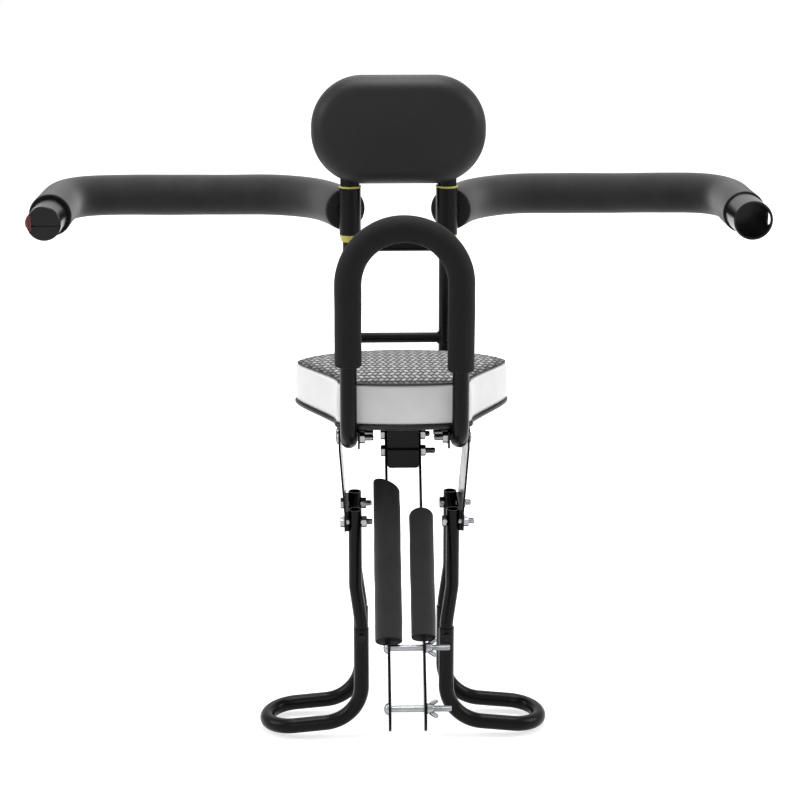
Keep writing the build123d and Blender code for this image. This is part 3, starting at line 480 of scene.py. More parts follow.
def eased(points, half):
    """Moving average over half a window each way; both ends run on straight, so they stay where they are."""
    count = np.arange(1, half + 1)[:, None]
    lead = points[0] - count[::-1] * (points[1] - points[0])
    tail = points[-1] + count * (points[-1] - points[-2])
    whole = np.vstack([lead, points, tail])
    kernel = np.full(2 * half + 1, 1 / (2 * half + 1))
    return np.stack([np.convolve(axis, kernel, "valid") for axis in whole.T], -1)


def bent_path(corners, radii, step, ease=0.0):
    """Straight runs joined by tangent arcs, then sampled evenly: returns distances, points and directions.

    An arc of radius r that turns by t leaves its corner r*tan(t/2) early and swings about the centre
    that lies r to the inner side of the incoming run.  ease is the length over which a soft tube eases
    into and out of its bends.
    """
    corners = np.array(corners, float)
    runs = [corners[:1]]
    for place, radius in enumerate(radii, 1):
        come = unit(corners[place] - corners[place - 1])
        go = unit(corners[place + 1] - corners[place])
        turn = np.arccos(come @ go)
        start = corners[place] - come * radius * tan(turn / 2)
        inward = unit(go - come * (come @ go))
        swing = np.linspace(0, turn, 40)[:, None]
        runs.append(start + radius * inward * (1 - np.cos(swing)) + radius * come * np.sin(swing))
    line = np.vstack([*runs, corners[-1:]])
    far = distances(line)
    even = np.linspace(0, far[-1], int(round(far[-1] / step)) + 1)
    points = sampled(even, far, line)
    if ease:
        points = eased(points, int(ease / step / 2))
    return even, points, unit(np.gradient(points, axis=0))


def swept(path, up, at, radius):
    """Rings of a tube: at each distance a ring across the path, `up` square to the path's plane.

    radius is a table of rings by even angles.
    """
    even, points, ways = path
    angle = full_turn(radius.shape[1])[None, :, None]
    up = np.array(up, float)
    side = np.cross(unit(sampled(at, even, ways)), up)
    across = np.cos(angle) * side[:, None] + np.sin(angle) * up
    return sampled(at, even, points)[:, None] + radius[:, :, None] * across


def foam_profile(long, outer, bore, end_bore, edge, step):
    """Distance and radius of each ring round a foam sleeve.

    From the bore's start, out over a rounded edge, along the outside, over the far edge, in through
    end_bore (places and radii of a wider mouth) and back along the bore.
    """
    turn = np.linspace(0, pi / 2, 7)
    rise_at, rise_r = edge * (1 - np.cos(turn)), outer - edge + edge * np.sin(turn)
    along = np.arange(edge + step, long - edge, step)
    back = along[along < min(end_bore[0]) - step][::-1]
    outside, inside = np.full(len(along), outer), np.full(len(back), bore)
    at = [[0.0], rise_at, along, long - rise_at[::-1], end_bore[0], back]
    radius = [[bore], rise_r, outside, rise_r[::-1], end_bore[1], inside]
    return np.concatenate(at), np.concatenate(radius)


def uneven(at, radius, outer, count, wave, height, phase):
    """Radii of a sleeve's rings at even angles, with the slow unevenness of hand-pulled foam outside.

    Three crossed sine waves over length and angle, only on the rings whose radius is near `outer`.
    """
    angle = full_turn(count)[None, :]
    run = 2 * pi * at[:, None] / wave
    ripple = height * (
        0.5 * np.sin(run + phase) * np.cos(angle + phase)
        + 0.3 * np.sin(1.7 * run - 2 * angle + 2 * phase)
        + 0.2 * np.sin(3.1 * run + 3 * angle + 3 * phase)
    )
    return radius[:, None] + ripple * (radius > 0.9 * outer)[:, None]


def darken_end(piece, way, end):
    """Gives the cut foam's finish to the faces about square to `way`, near the sleeve's end along it."""
    near, square = 4 * MM, 0.75
    mesh = piece.data
    normal, middle = np.empty((2, len(mesh.polygons), 3))
    mesh.polygons.foreach_get("normal", normal.ravel())
    mesh.polygons.foreach_get("center", middle.ravel())
    cut = (np.abs(middle @ way - end) < near) & (np.abs(normal @ way) > square)
    mesh.materials.append(finish("cut_foam"))
    mesh.polygons.foreach_set("material_index", cut.astype(np.int32))


def arm_corners(side, start):
    """Corner points of a guard arm's foam, from that far out from the post's axis to its tip."""
    corner_x = POST_X + (ARM_BAR_Y - POST_Y) * tan(ARM_SPLAY)
    return [
        (side * (POST_X + start * sin(ARM_SPLAY)), POST_Y + start * cos(ARM_SPLAY), ARM_Z),
        (side * corner_x, ARM_BAR_Y, ARM_Z),
        (side * ARM_TIP_X, ARM_BAR_Y, ARM_Z),
        (side * ARM_TIP_X, ARM_TIP_Y, ARM_Z),
    ]


class SEAT_OT_arm_foam(bpy.types.Operator):
    """Pulls a foam sleeve over each guard arm"""

    bl_idname = "seat.arm_foam"
    bl_label = "Arm foam"

    def execute(self, context):
        size = sizes()
        outer, bore, count = size.arm_foam_d / 2, 9.6 * MM, 64
        start, mouth_deep, mouth_r = 12.8 * MM, 16.1 * MM, {"left": 17.6 * MM, "right": 19.9 * MM}
        for name, side in SIDES.items():
            path = bent_path(arm_corners(side, start), ARM_BENDS, 2 * MM, 48 * MM)
            long, mouth = path[0][-1], mouth_r[name]
            end = [long, long - mouth_deep, long - mouth_deep], [mouth, mouth, bore]
            at, radius = foam_profile(long, outer, bore, end, size.foam_edge, 3 * MM)
            rings = swept(path, UP, at, uneven(at, radius, outer, count, 210 * MM, 0.35 * MM, side))
            piece = make_piece(
                f"arm_foam_sleeve_{name}", [mixed_grid(rings, True, True)], "closed_cell_foam",
                f"{name}_arm", [f"arm_foam_{name}"], FOAM_SHARP,
            )
            darken_end(piece, np.array([0, 1.0, 0]), path[1][-1][1])
        return {"FINISHED"}


class SEAT_OT_hoop_foam(bpy.types.Operator):
    """Pulls the foam sleeve over the front hoop"""

    bl_idname = "seat.hoop_foam"
    bl_label = "Hoop foam"

    def execute(self, context):
        size = sizes()
        outer, bore, count = size.hoop_foam_d / 2, 8.1 * MM, 48
        corners = [
            (-HOOP_X, HOOP_Y, HOOP_FOAM_END_LEFT),
            (-HOOP_X, HOOP_Y, HOOP_TOP_Z),
            (HOOP_X, HOOP_Y, HOOP_TOP_Z),
            (HOOP_X, HOOP_Y, HOOP_FOAM_END_RIGHT),
        ]
        path = bent_path(corners, [HOOP_BEND, HOOP_BEND], 1.5 * MM)
        long = path[0][-1]
        edge = CLEAN_CUT * size.foam_edge
        at, radius = foam_profile(long, outer, bore, ([long], [bore]), edge, 2.5 * MM)
        rings = swept(path, (0, 1, 0), at, uneven(at, radius, outer, count, 120 * MM, 0.25 * MM, 0.7))
        piece = make_piece(
            "hoop_foam_sleeve", [mixed_grid(rings, True, True)], "smooth_skinned_foam", "seat_frame",
            ["hoop_foam"], FOAM_SHARP,
        )
        return {"FINISHED"}


def plate_place(x, along):
    """A point on a clamp plate, that far down it from the cradle bolt."""
    return CRADLE_BOLT + np.array([x, 0, 0]) + along * CLAMP_WAY


class SEAT_OT_clamp_foam(bpy.types.Operator):
    """Slides a foam sleeve over each clamp plate; both are cut at a slant, the left one also to the side"""

    bl_idname = "seat.clamp_foam"
    bl_label = "Clamp foam"

    def execute(self, context):
        edge, count = CLEAN_CUT * sizes().foam_edge, 48
        slit_wide, slit_deep = 1.5 * MM, 10.1 * MM
        angle = full_turn(count)
        slit = 1 / np.sqrt((np.cos(angle) / slit_wide) ** 2 + (np.sin(angle) / slit_deep) ** 2)
        across = np.cos(angle)[:, None] * np.array([1.0, 0, 0]) + np.sin(angle)[:, None] * CLAMP_BACK
        for name, diameter, top, end, slant, back in (
            ("left", 26 * MM, 36 * MM, 196.2 * MM, tan(radians(22)), tan(radians(8))),
            ("right", 23.5 * MM, 64 * MM, 192.8 * MM, 0.0, tan(radians(24))),
        ):
            side, outer, long = SIDES[name], diameter / 2, end - top
            along, radius = foam_profile(long, outer, 0.0, ([long], [0.0]), edge, 4 * MM)
            # The slit runs straight through, so one ring at its far mouth is enough
            keep = len(along) - np.argmax(radius[::-1] > 0) + 1
            along, radius = along[:keep], radius[:keep]
            radius = uneven(along, radius, outer, count, 90 * MM, 0.3 * MM, side)
            radius[[0, -1]] = slit
            # The slant of the top fades out towards the foot
            fade = 1 - along[:, None] / long
            cut = fade * (slant * radius * np.cos(angle) + back * (radius * np.sin(angle) + outer))
            down = top + along[:, None] + cut
            origin = plate_place(side * PLATE_X, 0)
            rings = origin + down[:, :, None] * CLAMP_WAY + radius[:, :, None] * across
            piece = make_piece(
                f"clamp_foam_sleeve_{name}", [mixed_grid(rings, True, True)], "closed_cell_foam",
                "seat_frame", [f"clamp_foam_{name}"], FOAM_SHARP,
            )
            darken_end(piece, CLAMP_WAY, plate_place(0, end) @ CLAMP_WAY)
        return {"FINISHED"}


def rounded_rectangle(half_x, half_z, corner, count):
    """Outline of a rounded rectangle at even angles of its corner arcs, as an array of (x, z).

    Each corner has the same number of points, so outlines of different insets match point for point.
    """
    turn = np.linspace(0, pi / 2, count // 4)
    runs = []
    for quarter, (sx, sz) in enumerate(((1, 1), (-1, 1), (-1, -1), (1, -1))):
        angle = turn + quarter * pi / 2
        centre = np.array([sx * (half_x - corner), sz * (half_z - corner)])
        runs.append(centre + corner * np.stack([np.cos(angle), np.sin(angle)], -1))
    return np.vstack(runs)


class SEAT_OT_back_pad(bpy.types.Operator):
    """Moulds the oval back pad with a soft crowned face"""

    bl_idname = "seat.back_pad"
    bl_label = "Back pad"

    def execute(self, context):
        """Rings from the face's middle out over its crown, round the rolled edge and in over the back."""
        edge, crown = sizes().pad_edge, sizes().pad_crown
        corner, roll_deep, count, rows = 53 * MM, edge * 1.1, 160, 16
        low, high = np.array(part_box("backrest_pad"))
        half_x, deep, half_z = (high - low) / 2
        inward, turn = np.linspace(0, 1, rows), np.linspace(0, pi / 2, rows)
        flat = np.full(rows, edge)
        inset = np.concatenate([flat, edge * (1 - np.sin(turn)), edge * (1 - np.cos(turn)), flat])
        shrink = np.concatenate([inward, np.ones(2 * rows), inward[::-1]])
        face = deep - crown
        bulge = face + crown * (1 - inward**2)
        roll = face - roll_deep * (1 - np.cos(turn))
        back_roll = deep - roll_deep * (1 - np.sin(turn))
        rings = np.empty((len(inset), count, 3))
        outline = np.stack([rounded_rectangle(half_x - d, half_z - d, corner - d, count) for d in inset])
        rings[..., ::2] = outline * shrink[:, None, None]
        rings[..., 1] = np.concatenate([-bulge, -roll, back_roll, np.full(rows, deep)])[:, None]
        piece = make_piece(
            "back_pad_skin", [mixed_grid(rings + (low + high) / 2, False, True)],
            "integral_skin_polyurethane", "seat_frame", ["backrest_pad"],
        )
        return {"FINISHED"}


def saddle_outline(grow, count=OUTLINE_POINTS):
    """Plan of the saddle at even distances from the nose's middle, as an array of (x, y).

    Half of it is a bowed nose (arc), a corner (arc), a flank and a rear quarter (two cubics that meet
    straight back at the hip); the other half is its mirror image.
    """
    nose_y, bow, corner_r = -56 * MM - grow, 6 * MM, 9 * MM
    half, wide = 65 * MM + grow, 105 * MM + grow
    wide_y, rear_y = 45 * MM, 110 * MM + grow
    flank_pull, hip_pull, rear_flat = 18 * MM, 19 * MM, 62 * MM
    corner_x, corner_y = half - corner_r, nose_y + bow + corner_r
    t = np.linspace(0, 1, 200)
    bow_r = (corner_x**2 + bow**2) / (2 * bow)
    x = corner_x * t
    nose = np.stack([x, nose_y + bow_r - np.sqrt(bow_r**2 - x**2)], -1)
    swing = t * pi / 2
    corner = np.stack([corner_x + corner_r * np.sin(swing), corner_y - corner_r * np.cos(swing)], -1)
    weights = np.stack([(1 - t) ** 3, 3 * t * (1 - t) ** 2, 3 * t**2 * (1 - t), t**3], -1)
    flank = weights @ np.array(
        [(half, corner_y), (half, corner_y + flank_pull), (wide, wide_y - hip_pull), (wide, wide_y)]
    )
    rear = weights @ np.array([(wide, wide_y), (wide, wide_y + hip_pull), (rear_flat, rear_y), (0, rear_y)])
    right = np.vstack([nose, corner, flank, rear])
    whole = np.vstack([right, (right * (-1, 1))[::-1]])
    far = distances(whole)
    return sampled(np.linspace(0, far[-1], count, endpoint=False), far, whole)


def saddle_top(y):
    """Height of the side band's top: a parabola that starts level at the nose and falls to the rear."""
    t = (y - SADDLE_FRONT) / (SADDLE_REAR - SADDLE_FRONT)
    return BAND_TOP - TOP_FALL * t**2


def raised(plan, z):
    """Rings of plan positions with their heights."""
    return np.concatenate([plan, np.broadcast_to(z, plan.shape[:2])[..., None]], -1)


def saddle_rings(grow, share, lift):
    """Rings round the saddle: each grows the plan and sits at a share of the band's height plus a lift."""
    plan = np.stack([saddle_outline(g) for g in grow])
    high = saddle_top(plan[:, :, 1]) - BAND_LOW
    return raised(plan, BAND_LOW + np.reshape(share, (-1, 1)) * high + np.reshape(lift, (-1, 1)))


class SEAT_OT_saddle_shell(bpy.types.Operator):
    """Sews the white side band, its seam bead and the moulded base lip"""

    bl_idname = "seat.saddle_shell"
    bl_label = "Saddle band and base"

    def execute(self, context):
        self.band()
        self.bead()
        self.base()
        return {"FINISHED"}

    def band(self):
        """Wall that swells a little at half height and rolls over at its top.

        Upright seams at the nose's corners are grooves in the shape of a bell curve.
        """
        roll, thick, full, inset, dip = sizes().band_roll, 14 * MM, 0.9 * MM, 0.2 * MM, 0.4 * MM
        seam_x, seam_wide, seam_deep, seam_end_y = 59 * MM, 0.9 * MM, 0.8 * MM, -40 * MM
        up = np.linspace(0, 1, 14)
        turn = np.linspace(0, pi / 2, 9)[1:]
        wall, over = full * np.sin(pi * up) - inset, -roll * (1 - np.cos(turn)) - inset
        grow = np.concatenate([[-thick], wall, over, [-thick]])
        share = np.concatenate([[0], up, np.ones(len(turn)), [1]])
        lift = np.concatenate([[0], -roll * up, -roll + roll * np.sin(turn), [-dip]])
        rings = saddle_rings(grow, share, lift)
        plan = saddle_outline(0)
        near = (np.abs(plan[:, 0]) - seam_x) / seam_wide
        groove = np.where(plan[:, 1] < seam_end_y, np.exp(-(near**2)), 0) * seam_deep
        outside = (share > 0) & (grow > -0.5 * thick)
        rings[outside, :, :2] -= groove[:, None] * unit(plan - plan.mean(0))
        piece = make_piece(
            "saddle_band", [mixed_grid(rings, True, True)], "white_vinyl", "seat_frame",
            ["saddle_side_band"],
        )

    def bead(self):
        """Round cord in the seam, a small circle carried round the plan; it sinks in behind the nose."""
        radius, inset, lift = sizes().bead_d / 2, 1.9 * MM, 0.5 * MM
        full_y, sunk_y, sunk_share = -50 * MM, -38 * MM, 0.45
        angle = full_turn(12)
        rings = saddle_rings(-inset + radius * np.cos(angle), 1, lift + radius * np.sin(angle))
        middle = rings.mean(0)
        share = np.interp(middle[:, 1], [full_y, sunk_y], [1.0, sunk_share])
        rings = middle + share[:, None] * (rings - middle)
        make_piece(
            "saddle_seam_bead", [mixed_grid(rings, True, True)], "dark_vinyl_bead", "seat_frame",
            ["saddle_piping"],
        )

    def base(self):
        """Moulded lip that stands out under the band and rounds under to a flat bottom."""
        low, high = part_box("saddle_base")
        inset, stand_out, centre = 1.6 * MM, 3.1 * MM, (0, 30 * MM)
        turn = np.linspace(-pi / 2, pi / 2, 15)
        plan = np.stack([saddle_outline(g) for g in -inset + stand_out * np.cos(turn)])
        z = (low.z + high.z) / 2 + (high.z - low.z) / 2 * np.sin(turn)
        rings = raised(plan, z[:, None])
        ends = rings[[0, -1]]
        ends[..., :2] = centre
        rings = np.concatenate([ends[:1], rings, ends[1:]])
        make_piece(
            "saddle_base_lip", [mixed_grid(rings, False, True)], "moulded_polypropylene", "seat_frame",
            ["saddle_base"],
        )


def woven(points, wide, long):
    """Relief of the weave at plan positions, 0 in the gaps to 1 on the strands, and each strand's shade.

    Rows of strand ends, every other row moved by half a strand and slanted the other way; each end is a
    pillow, the product of two half sine waves to the power 0.4.  Over and under strands differ in shade.
    """
    row, across = np.divmod(points[:, 1] / long, 1)
    odd = np.mod(row, 2)
    slant = 0.5 * (across - 0.5) * (1 - 2 * odd)
    column, along = np.divmod(points[:, 0] / wide + 0.5 * odd + slant, 1)
    pillow = (np.sin(pi * along) * np.sin(pi * across)) ** 0.4
    return pillow, np.where(np.mod(column, 2) == 0, 1.0, 0.84)


def swell(piece, hold, cap):
    """Lets a sheet swell under inner pressure, held where hold is true, no point moving further than cap."""
    group = piece.vertex_groups.new(name="held")
    group.add(np.flatnonzero(hold).tolist(), 1.0, "REPLACE")
    rest = points_of(piece.data)
    cloth = piece.modifiers.new("swell", "CLOTH")
    cloth.settings.vertex_group_mass = "held"
    cloth.settings.use_pressure = True
    cloth.settings.uniform_pressure_force = 4.0
    cloth.settings.effector_weights.gravity = 0.0
    scene = bpy.context.scene
    for step in range(1, 21):
        scene.frame_set(step)
    shape = piece.evaluated_get(bpy.context.evaluated_depsgraph_get()).data
    shift = points_of(shape) - rest
    far = np.linalg.norm(shift, axis=1, keepdims=True)
    shift *= np.minimum(1, cap / np.maximum(far, 1e-9))
    piece.modifiers.remove(cloth)
    piece.vertex_groups.clear()
    scene.frame_set(1)
    piece.data.vertices.foreach_set("co", (rest + shift).ravel())
    piece.data.update()


class SEAT_OT_woven_panel(bpy.types.Operator):
    """Lays the woven panel over the saddle, swollen by its padding"""

    bl_idname = "seat.woven_panel"
    bl_label = "Woven panel"

    def execute(self, context):
        """Rings from the middle out over a crown to the fourth power, a turned hem and a flat back."""
        size = sizes()
        count, rings_in = 144, 34
        crown, hem_out, hem_down, back_down = 2.6 * MM, 0.8 * MM, 2.4 * MM, 2 * MM
        edge = saddle_outline(PANEL_INSET, count)
        roll = np.linspace(0, pi / 2, 4)
        share = np.linspace(0, 1, rings_in)
        top = PANEL_MIDDLE + share[:, None, None] * (edge - PANEL_MIDDLE)
        hem = edge + unit(edge - PANEL_MIDDLE) * (hem_out * np.sin(roll))[:, None, None]
        plan = np.concatenate([top, hem])
        lift = np.concatenate([crown * (1 - share**4), -hem_down * (1 - np.cos(roll))]) + PANEL_EDGE_LIFT
        rings = raised(plan, saddle_top(plan[:, :, 1]) + lift[:, None])
        under = rings[-1:].copy()
        under[...] = (*PANEL_MIDDLE, saddle_top(PANEL_MIDDLE[1]) - back_down)
        piece = make_piece(
            "woven_panel", [mixed_grid(np.concatenate([rings, under]), False, True)], "basket_weave_cloth",
            "seat_frame", ["saddle_top_panel"],
        )
        swell(piece, self.rise(points_of(piece.data)) < PANEL_EDGE_LIFT + 0.05 * MM, size.panel_crown)
        smooth = piece.modifiers.new("smooth", "SUBSURF")
        smooth.levels = smooth.render_levels = 2
        with bpy.context.temp_override(object=piece, active_object=piece):
            bpy.ops.object.modifier_apply(modifier=smooth.name)
        self.weave(piece.data, size.strand_wide, size.strand_long)
        return {"FINISHED"}

    def rise(self, points):
        """How high each point lies above the side band's top."""
        return points[:, 2] - saddle_top(points[:, 1])

    def edge_share(self, points):
        """How far each point lies out from the panel's middle, as a share of the way to its edge."""
        edge = saddle_outline(PANEL_INSET) - PANEL_MIDDLE
        away = points[:, :2] - PANEL_MIDDLE
        angle, edge_angle = (np.arctan2(rows[:, 1], rows[:, 0]) for rows in (away, edge))
        reach = np.interp(angle, edge_angle, np.linalg.norm(edge, axis=1), period=2 * pi)
        return np.linalg.norm(away, axis=1) / reach

    def weave(self, mesh, wide, long):
        """Raises the strands: each point of the top moves up by the woven relief there.

        The strand attribute is that relief in each strand's shade, darkened towards the panel's edge by
        painted shade that stands in for the hem rolling away from the light.
        """
        relief, level = 0.7 * MM, 0.6
        # Where the painted edge shade begins, as a share of the way out, and how dark it is at the edge
        painted_shade_start, painted_edge_shade = 0.86, 0.62
        points = points_of(mesh)
        height, shade = woven(points, wide, long)
        # Painted shade: the strand attribute darkens over the panel's outer rim, where the hem rolls down
        shade *= np.interp(self.edge_share(points), [painted_shade_start, 1.0], [1.0, painted_edge_shade])
        points[:, 2] += relief * (height - level) * np.clip(self.rise(points) / PANEL_EDGE_LIFT, 0, 1)
        mesh.vertices.foreach_set("co", points.ravel())
        strand = mesh.attributes.new("strand", "FLOAT", "POINT")
        strand.data.foreach_set("value", height * shade)
        mesh.update()


def hexagon(flats, count):
    """Radius of a hexagon at even angles."""
    return flats / 2 / np.cos(np.mod(full_turn(count) + pi / 6, pi / 3) - pi / 6)


def turned(x, radius, y, z):
    """Rings about an axis along X: one row of radii per place along it."""
    angle = full_turn(radius.shape[1])
    rings = np.empty(radius.shape + (3,))
    rings[..., 0] = np.reshape(x, (-1, 1))
    rings[..., 1] = y + radius * np.cos(angle)
    rings[..., 2] = z + radius * np.sin(angle)
    return rings


def round_rows(radius):
    """Rows of a round piece: each radius at every angle."""
    return np.tile(np.reshape(radius, (-1, 1)), (1, HARDWARE_POINTS))


def hex_rows(face_x, seat_x, flats):
    """A hexagon head's rows from its chamfered face to its seat: a cone cuts the radius near the face."""
    face_r, cone_rise = 0.46 * flats, 1.7
    way = np.sign(seat_x - face_x)
    inset = np.array([0, 0, 0.15, 0.3, 0.5, 0.8]) * MM
    x = np.concatenate([face_x + way * inset, [seat_x]])
    cone = np.concatenate([[0, face_r], face_r + cone_rise * inset[2:], [flats]])
    return x, np.minimum(cone[:, None], hexagon(flats, HARDWARE_POINTS)[None])


def dome_rows(face_x, seat_x, diameter):
    """A domed round head's rows: a quarter ellipse from its crown to its seat."""
    turn = np.linspace(0, pi / 2, 9)
    return face_x + (seat_x - face_x) * (1 - np.cos(turn)), round_rows(diameter / 2 * np.sin(turn))


def thread_rows(start_x, end_x, diameter, pitch):
    """A screw thread's rows: the radius dips by a triangle wave that climbs one pitch per turn.

    The last stretch tapers to a blunt tip.
    """
    deep, taper_long, taper_share, tip_r = 0.34 * MM, 1.2 * MM, 0.25, 0.36 * diameter
    long, way = abs(end_x - start_x), np.sign(end_x - start_x)
    x = np.arange(0, long, pitch / 5)
    turns = np.linspace(0, 1, HARDWARE_POINTS, endpoint=False)
    wave = np.abs(np.mod(x[:, None] / pitch - turns, 1) - 0.5) * 2
    taper = np.minimum(1, (long - x) / taper_long * taper_share + 1 - taper_share)
    thread = (diameter / 2 - deep * wave) * taper[:, None]
    rows = np.concatenate([thread, round_rows([tip_r, 0])])
    return np.concatenate([start_x + way * x, [end_x, end_x]]), rows


def bolt(head, seat_x, plain_x, tip_x, y, z):
    """A bolt's grid: head, plain shank through the clamped pieces, thread and tip."""
    thread = thread_rows(plain_x, tip_x, BOLT_D, sizes().pitch)
    shank = [seat_x, plain_x], round_rows([BOLT_D / 2, BOLT_D / 2])
    x, rows = (np.concatenate(parts) for parts in zip(head, shank, thread))
    return mixed_grid(turned(x, rows, y, z), False, True)


def hex_nut(seat_x, face_x, y, z):
    """A hexagon nut's grid, chamfered at its outer face and open through its bore."""
    x, radius = hex_rows(face_x, seat_x, NUT_FLATS)
    bore = round_rows(NUT_BORE_R)
    rows = np.concatenate([bore, radius[1:], bore])
    return mixed_grid(turned(np.concatenate([[face_x], x[1:], [seat_x]]), rows, y, z), True, True)


def hardware(name, grids, node):
    """One set of zinc-plated bolts or nuts on the frame."""
    make_piece(name, grids, "zinc_plate", "seat_frame", [node], BOLT_SHARP)


class SEAT_OT_bolts(bpy.types.Operator):
    """Makes the bolts with heads and threads, and the hexagon nuts"""

    bl_idname = "seat.bolts"
    bl_label = "Bolts and nuts"

    def execute(self, context):
        self.bracket()
        self.clamp()
        self.rails()
        self.legs()
        return {"FINISHED"}

    def bracket(self):
        """Two hexagon bolts across the bracket and the cradle block."""
        bolts, nuts = [], []
        for along, tip_x in ((0, 32 * MM), (-18 * MM, 27 * MM)):
            _, y, z = plate_place(0, along)
            head = hex_rows(-PLATE_OUTER - HEAD_HIGH, -PLATE_OUTER, NUT_FLATS)
            bolts.append(bolt(head, -PLATE_OUTER, 12 * MM, tip_x, y, z))
            nuts.append(hex_nut(PLATE_OUTER, PLATE_OUTER + NUT_HIGH, y, z))
        hardware("bracket_bolt_set", bolts, "bracket_bolts")
        hardware("bracket_nut_set", nuts, "bracket_nuts")

    def clamp(self):
        """Two round-headed bolts across the clamp plates, for the wing nuts."""
        head_d, tip_x, grids = 11 * MM, 41 * MM, []
        for along in WING_BOLTS.values():
            _, y, z = plate_place(0, along)
            head = dome_rows(-PLATE_OUTER - HEAD_HIGH, -PLATE_OUTER, head_d)
            grids.append(bolt(head, -PLATE_OUTER, PLATE_OUTER, tip_x, y, z))
        hardware("wing_bolt_set", grids, "wing_bolts")

    def rails(self):
        """Four low domed bolts from the hanger plates through the rails to the backing tabs."""
        seat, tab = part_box("hanger_plate_right")[1].x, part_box("backing_tab_right")[0].x
        head_high, head_d, tip_x = 2.6 * MM, 13 * MM, 29 * MM
        bolts, nuts = [], []
        for side in SIDES.values():
            for y in RAIL_BOLT_YS:
                head = dome_rows(side * (seat + head_high), side * seat, head_d)
                bolts.append(bolt(head, side * seat, side * tab, side * tip_x, y, RAIL_BOLT_Z))
                nuts.append(hex_nut(side * tab, side * (tab - NUT_HIGH), y, RAIL_BOLT_Z))
        hardware("rail_bolt_set", bolts, "hanger_bolts")
        hardware("rail_nut_set", nuts, "hanger_nuts")

    def legs(self):
        """Four hexagon bolts through the footrest legs, all with their heads to the left."""
        inner, outer, tail = 40.9 * MM, 57.9 * MM, 5.5 * MM
        bolts, nuts = [], []
        for head_x, nut_x in ((-outer, -inner), (inner, outer)):
            for y in LEG_BOLT_YS:
                head = hex_rows(head_x - HEAD_HIGH, head_x, NUT_FLATS)
                bolts.append(bolt(head, head_x, nut_x, nut_x + NUT_HIGH + tail, y, LEG_BOLT_Z))
                nuts.append(hex_nut(nut_x, nut_x + NUT_HIGH, y, LEG_BOLT_Z))
        hardware("leg_bolt_set", bolts, "footrest_bolts")
        hardware("leg_nut_set", nuts, "footrest_nuts")


class SEAT_OT_wing_nuts(bpy.types.Operator):
    """Casts the two wing nuts: a waisted barrel with two leaning ears"""

    bl_idname = "seat.wing_nuts"
    bl_label = "Wing nuts"

    def execute(self, context):
        gap = 0.3 * MM
        for place, along in WING_BOLTS.items():
            seat = plate_place(PLATE_OUTER + gap, along)
            grids = [self.barrel(seat), self.ear(seat, 1), self.ear(seat, -1)]
            make_piece(
                f"wing_nut_{place}_cast", grids, "zinc_plate", f"wing_nut_{place}",
                [f"wing_nut_{place}"], CAST_SHARP,
            )
        return {"FINISHED"}

    def barrel(self, seat):
        """Turned profile: a rounded foot, a waist, a chamfered top and the bore."""
        x = np.array([0, 0, 0.4, 2.5, 5.4, 6.0, 6.0, 0]) * MM
        radius = np.array([3.05, 4.6, 5.0, 4.5, 4.2, 3.8, 3.05, 3.05]) * MM
        return mixed_grid(turned(seat[0] + x, round_rows(radius), seat[1], seat[2]), True, True)

    def ear(self, seat, way):
        """A flattened lobe: ellipses along a leaning line, broad in the middle and closed at both ends.

        Places on the line are (along the bolt, out from it).
        """
        start, end = np.array([2.6, 3.2]) * MM, np.array([10.2, 8.3]) * MM
        half_broad, half_thick = 2.2 * MM, 1.15 * MM
        t = np.linspace(0, 1, 16)
        broad = half_broad * np.sqrt(np.clip(1 - (2 * t - 1) ** 6, 0, 1))
        thick = half_thick * np.sqrt(np.clip(1 - (2 * t - 1) ** 8, 0, 1))
        line = start + t[:, None] * (end - start)
        along = unit(end - start)
        square = np.array([along[1], -along[0]])
        angle = full_turn(20)
        flat = line[:, None] + (broad[:, None] * np.cos(angle))[:, :, None] * square
        aside = thick[:, None] * np.sin(angle)
        lean, out = flat[..., :1] * np.array([1.0, 0, 0]), flat[..., 1:] * (-way * CLAMP_WAY)
        return mixed_grid(seat + lean + out + aside[:, :, None] * CLAMP_BACK, False, True)


class SEAT_OT_latch_spring(bpy.types.Operator):
    """Bends the leaf spring behind the red button in its rest shape; the real spring flattens as the button
    is pressed
    """

    bl_idname = "seat.latch_spring"
    bl_label = "Latch spring"

    def execute(self, context):
        """A thin strip whose back follows a parabola from the pocket's floor to the button and back."""
        low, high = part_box("latch_spring")
        middle, half = (low + high) / 2, (high - low) / 2
        thick, pressed = 0.5 * MM, 0.18
        t = np.linspace(-1, 1, 25)[:, None]
        back = low.x + (2 * half.x - thick) * t**2
        corners = np.array([(0, -1), (0, 1), (thick, 1), (thick, -1)])
        rings = np.empty((len(t), len(corners), 3))
        rings[..., 0] = back + corners[:, 0]
        rings[..., 1] = middle.y + half.y * t
        rings[..., 2] = middle.z + half.z * corners[:, 1]
        ends = np.repeat(rings[[0, -1]].mean(1, keepdims=True), len(corners), axis=1)
        rings = np.concatenate([ends[:1], rings, ends[1:]])
        piece = make_piece(
            "latch_leaf_spring", [mixed_grid(rings, False, True)], "spring_steel", "left_arm",
            ["latch_spring"], CAST_SHARP,
        )
        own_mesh(piece)
        return {"FINISHED"}


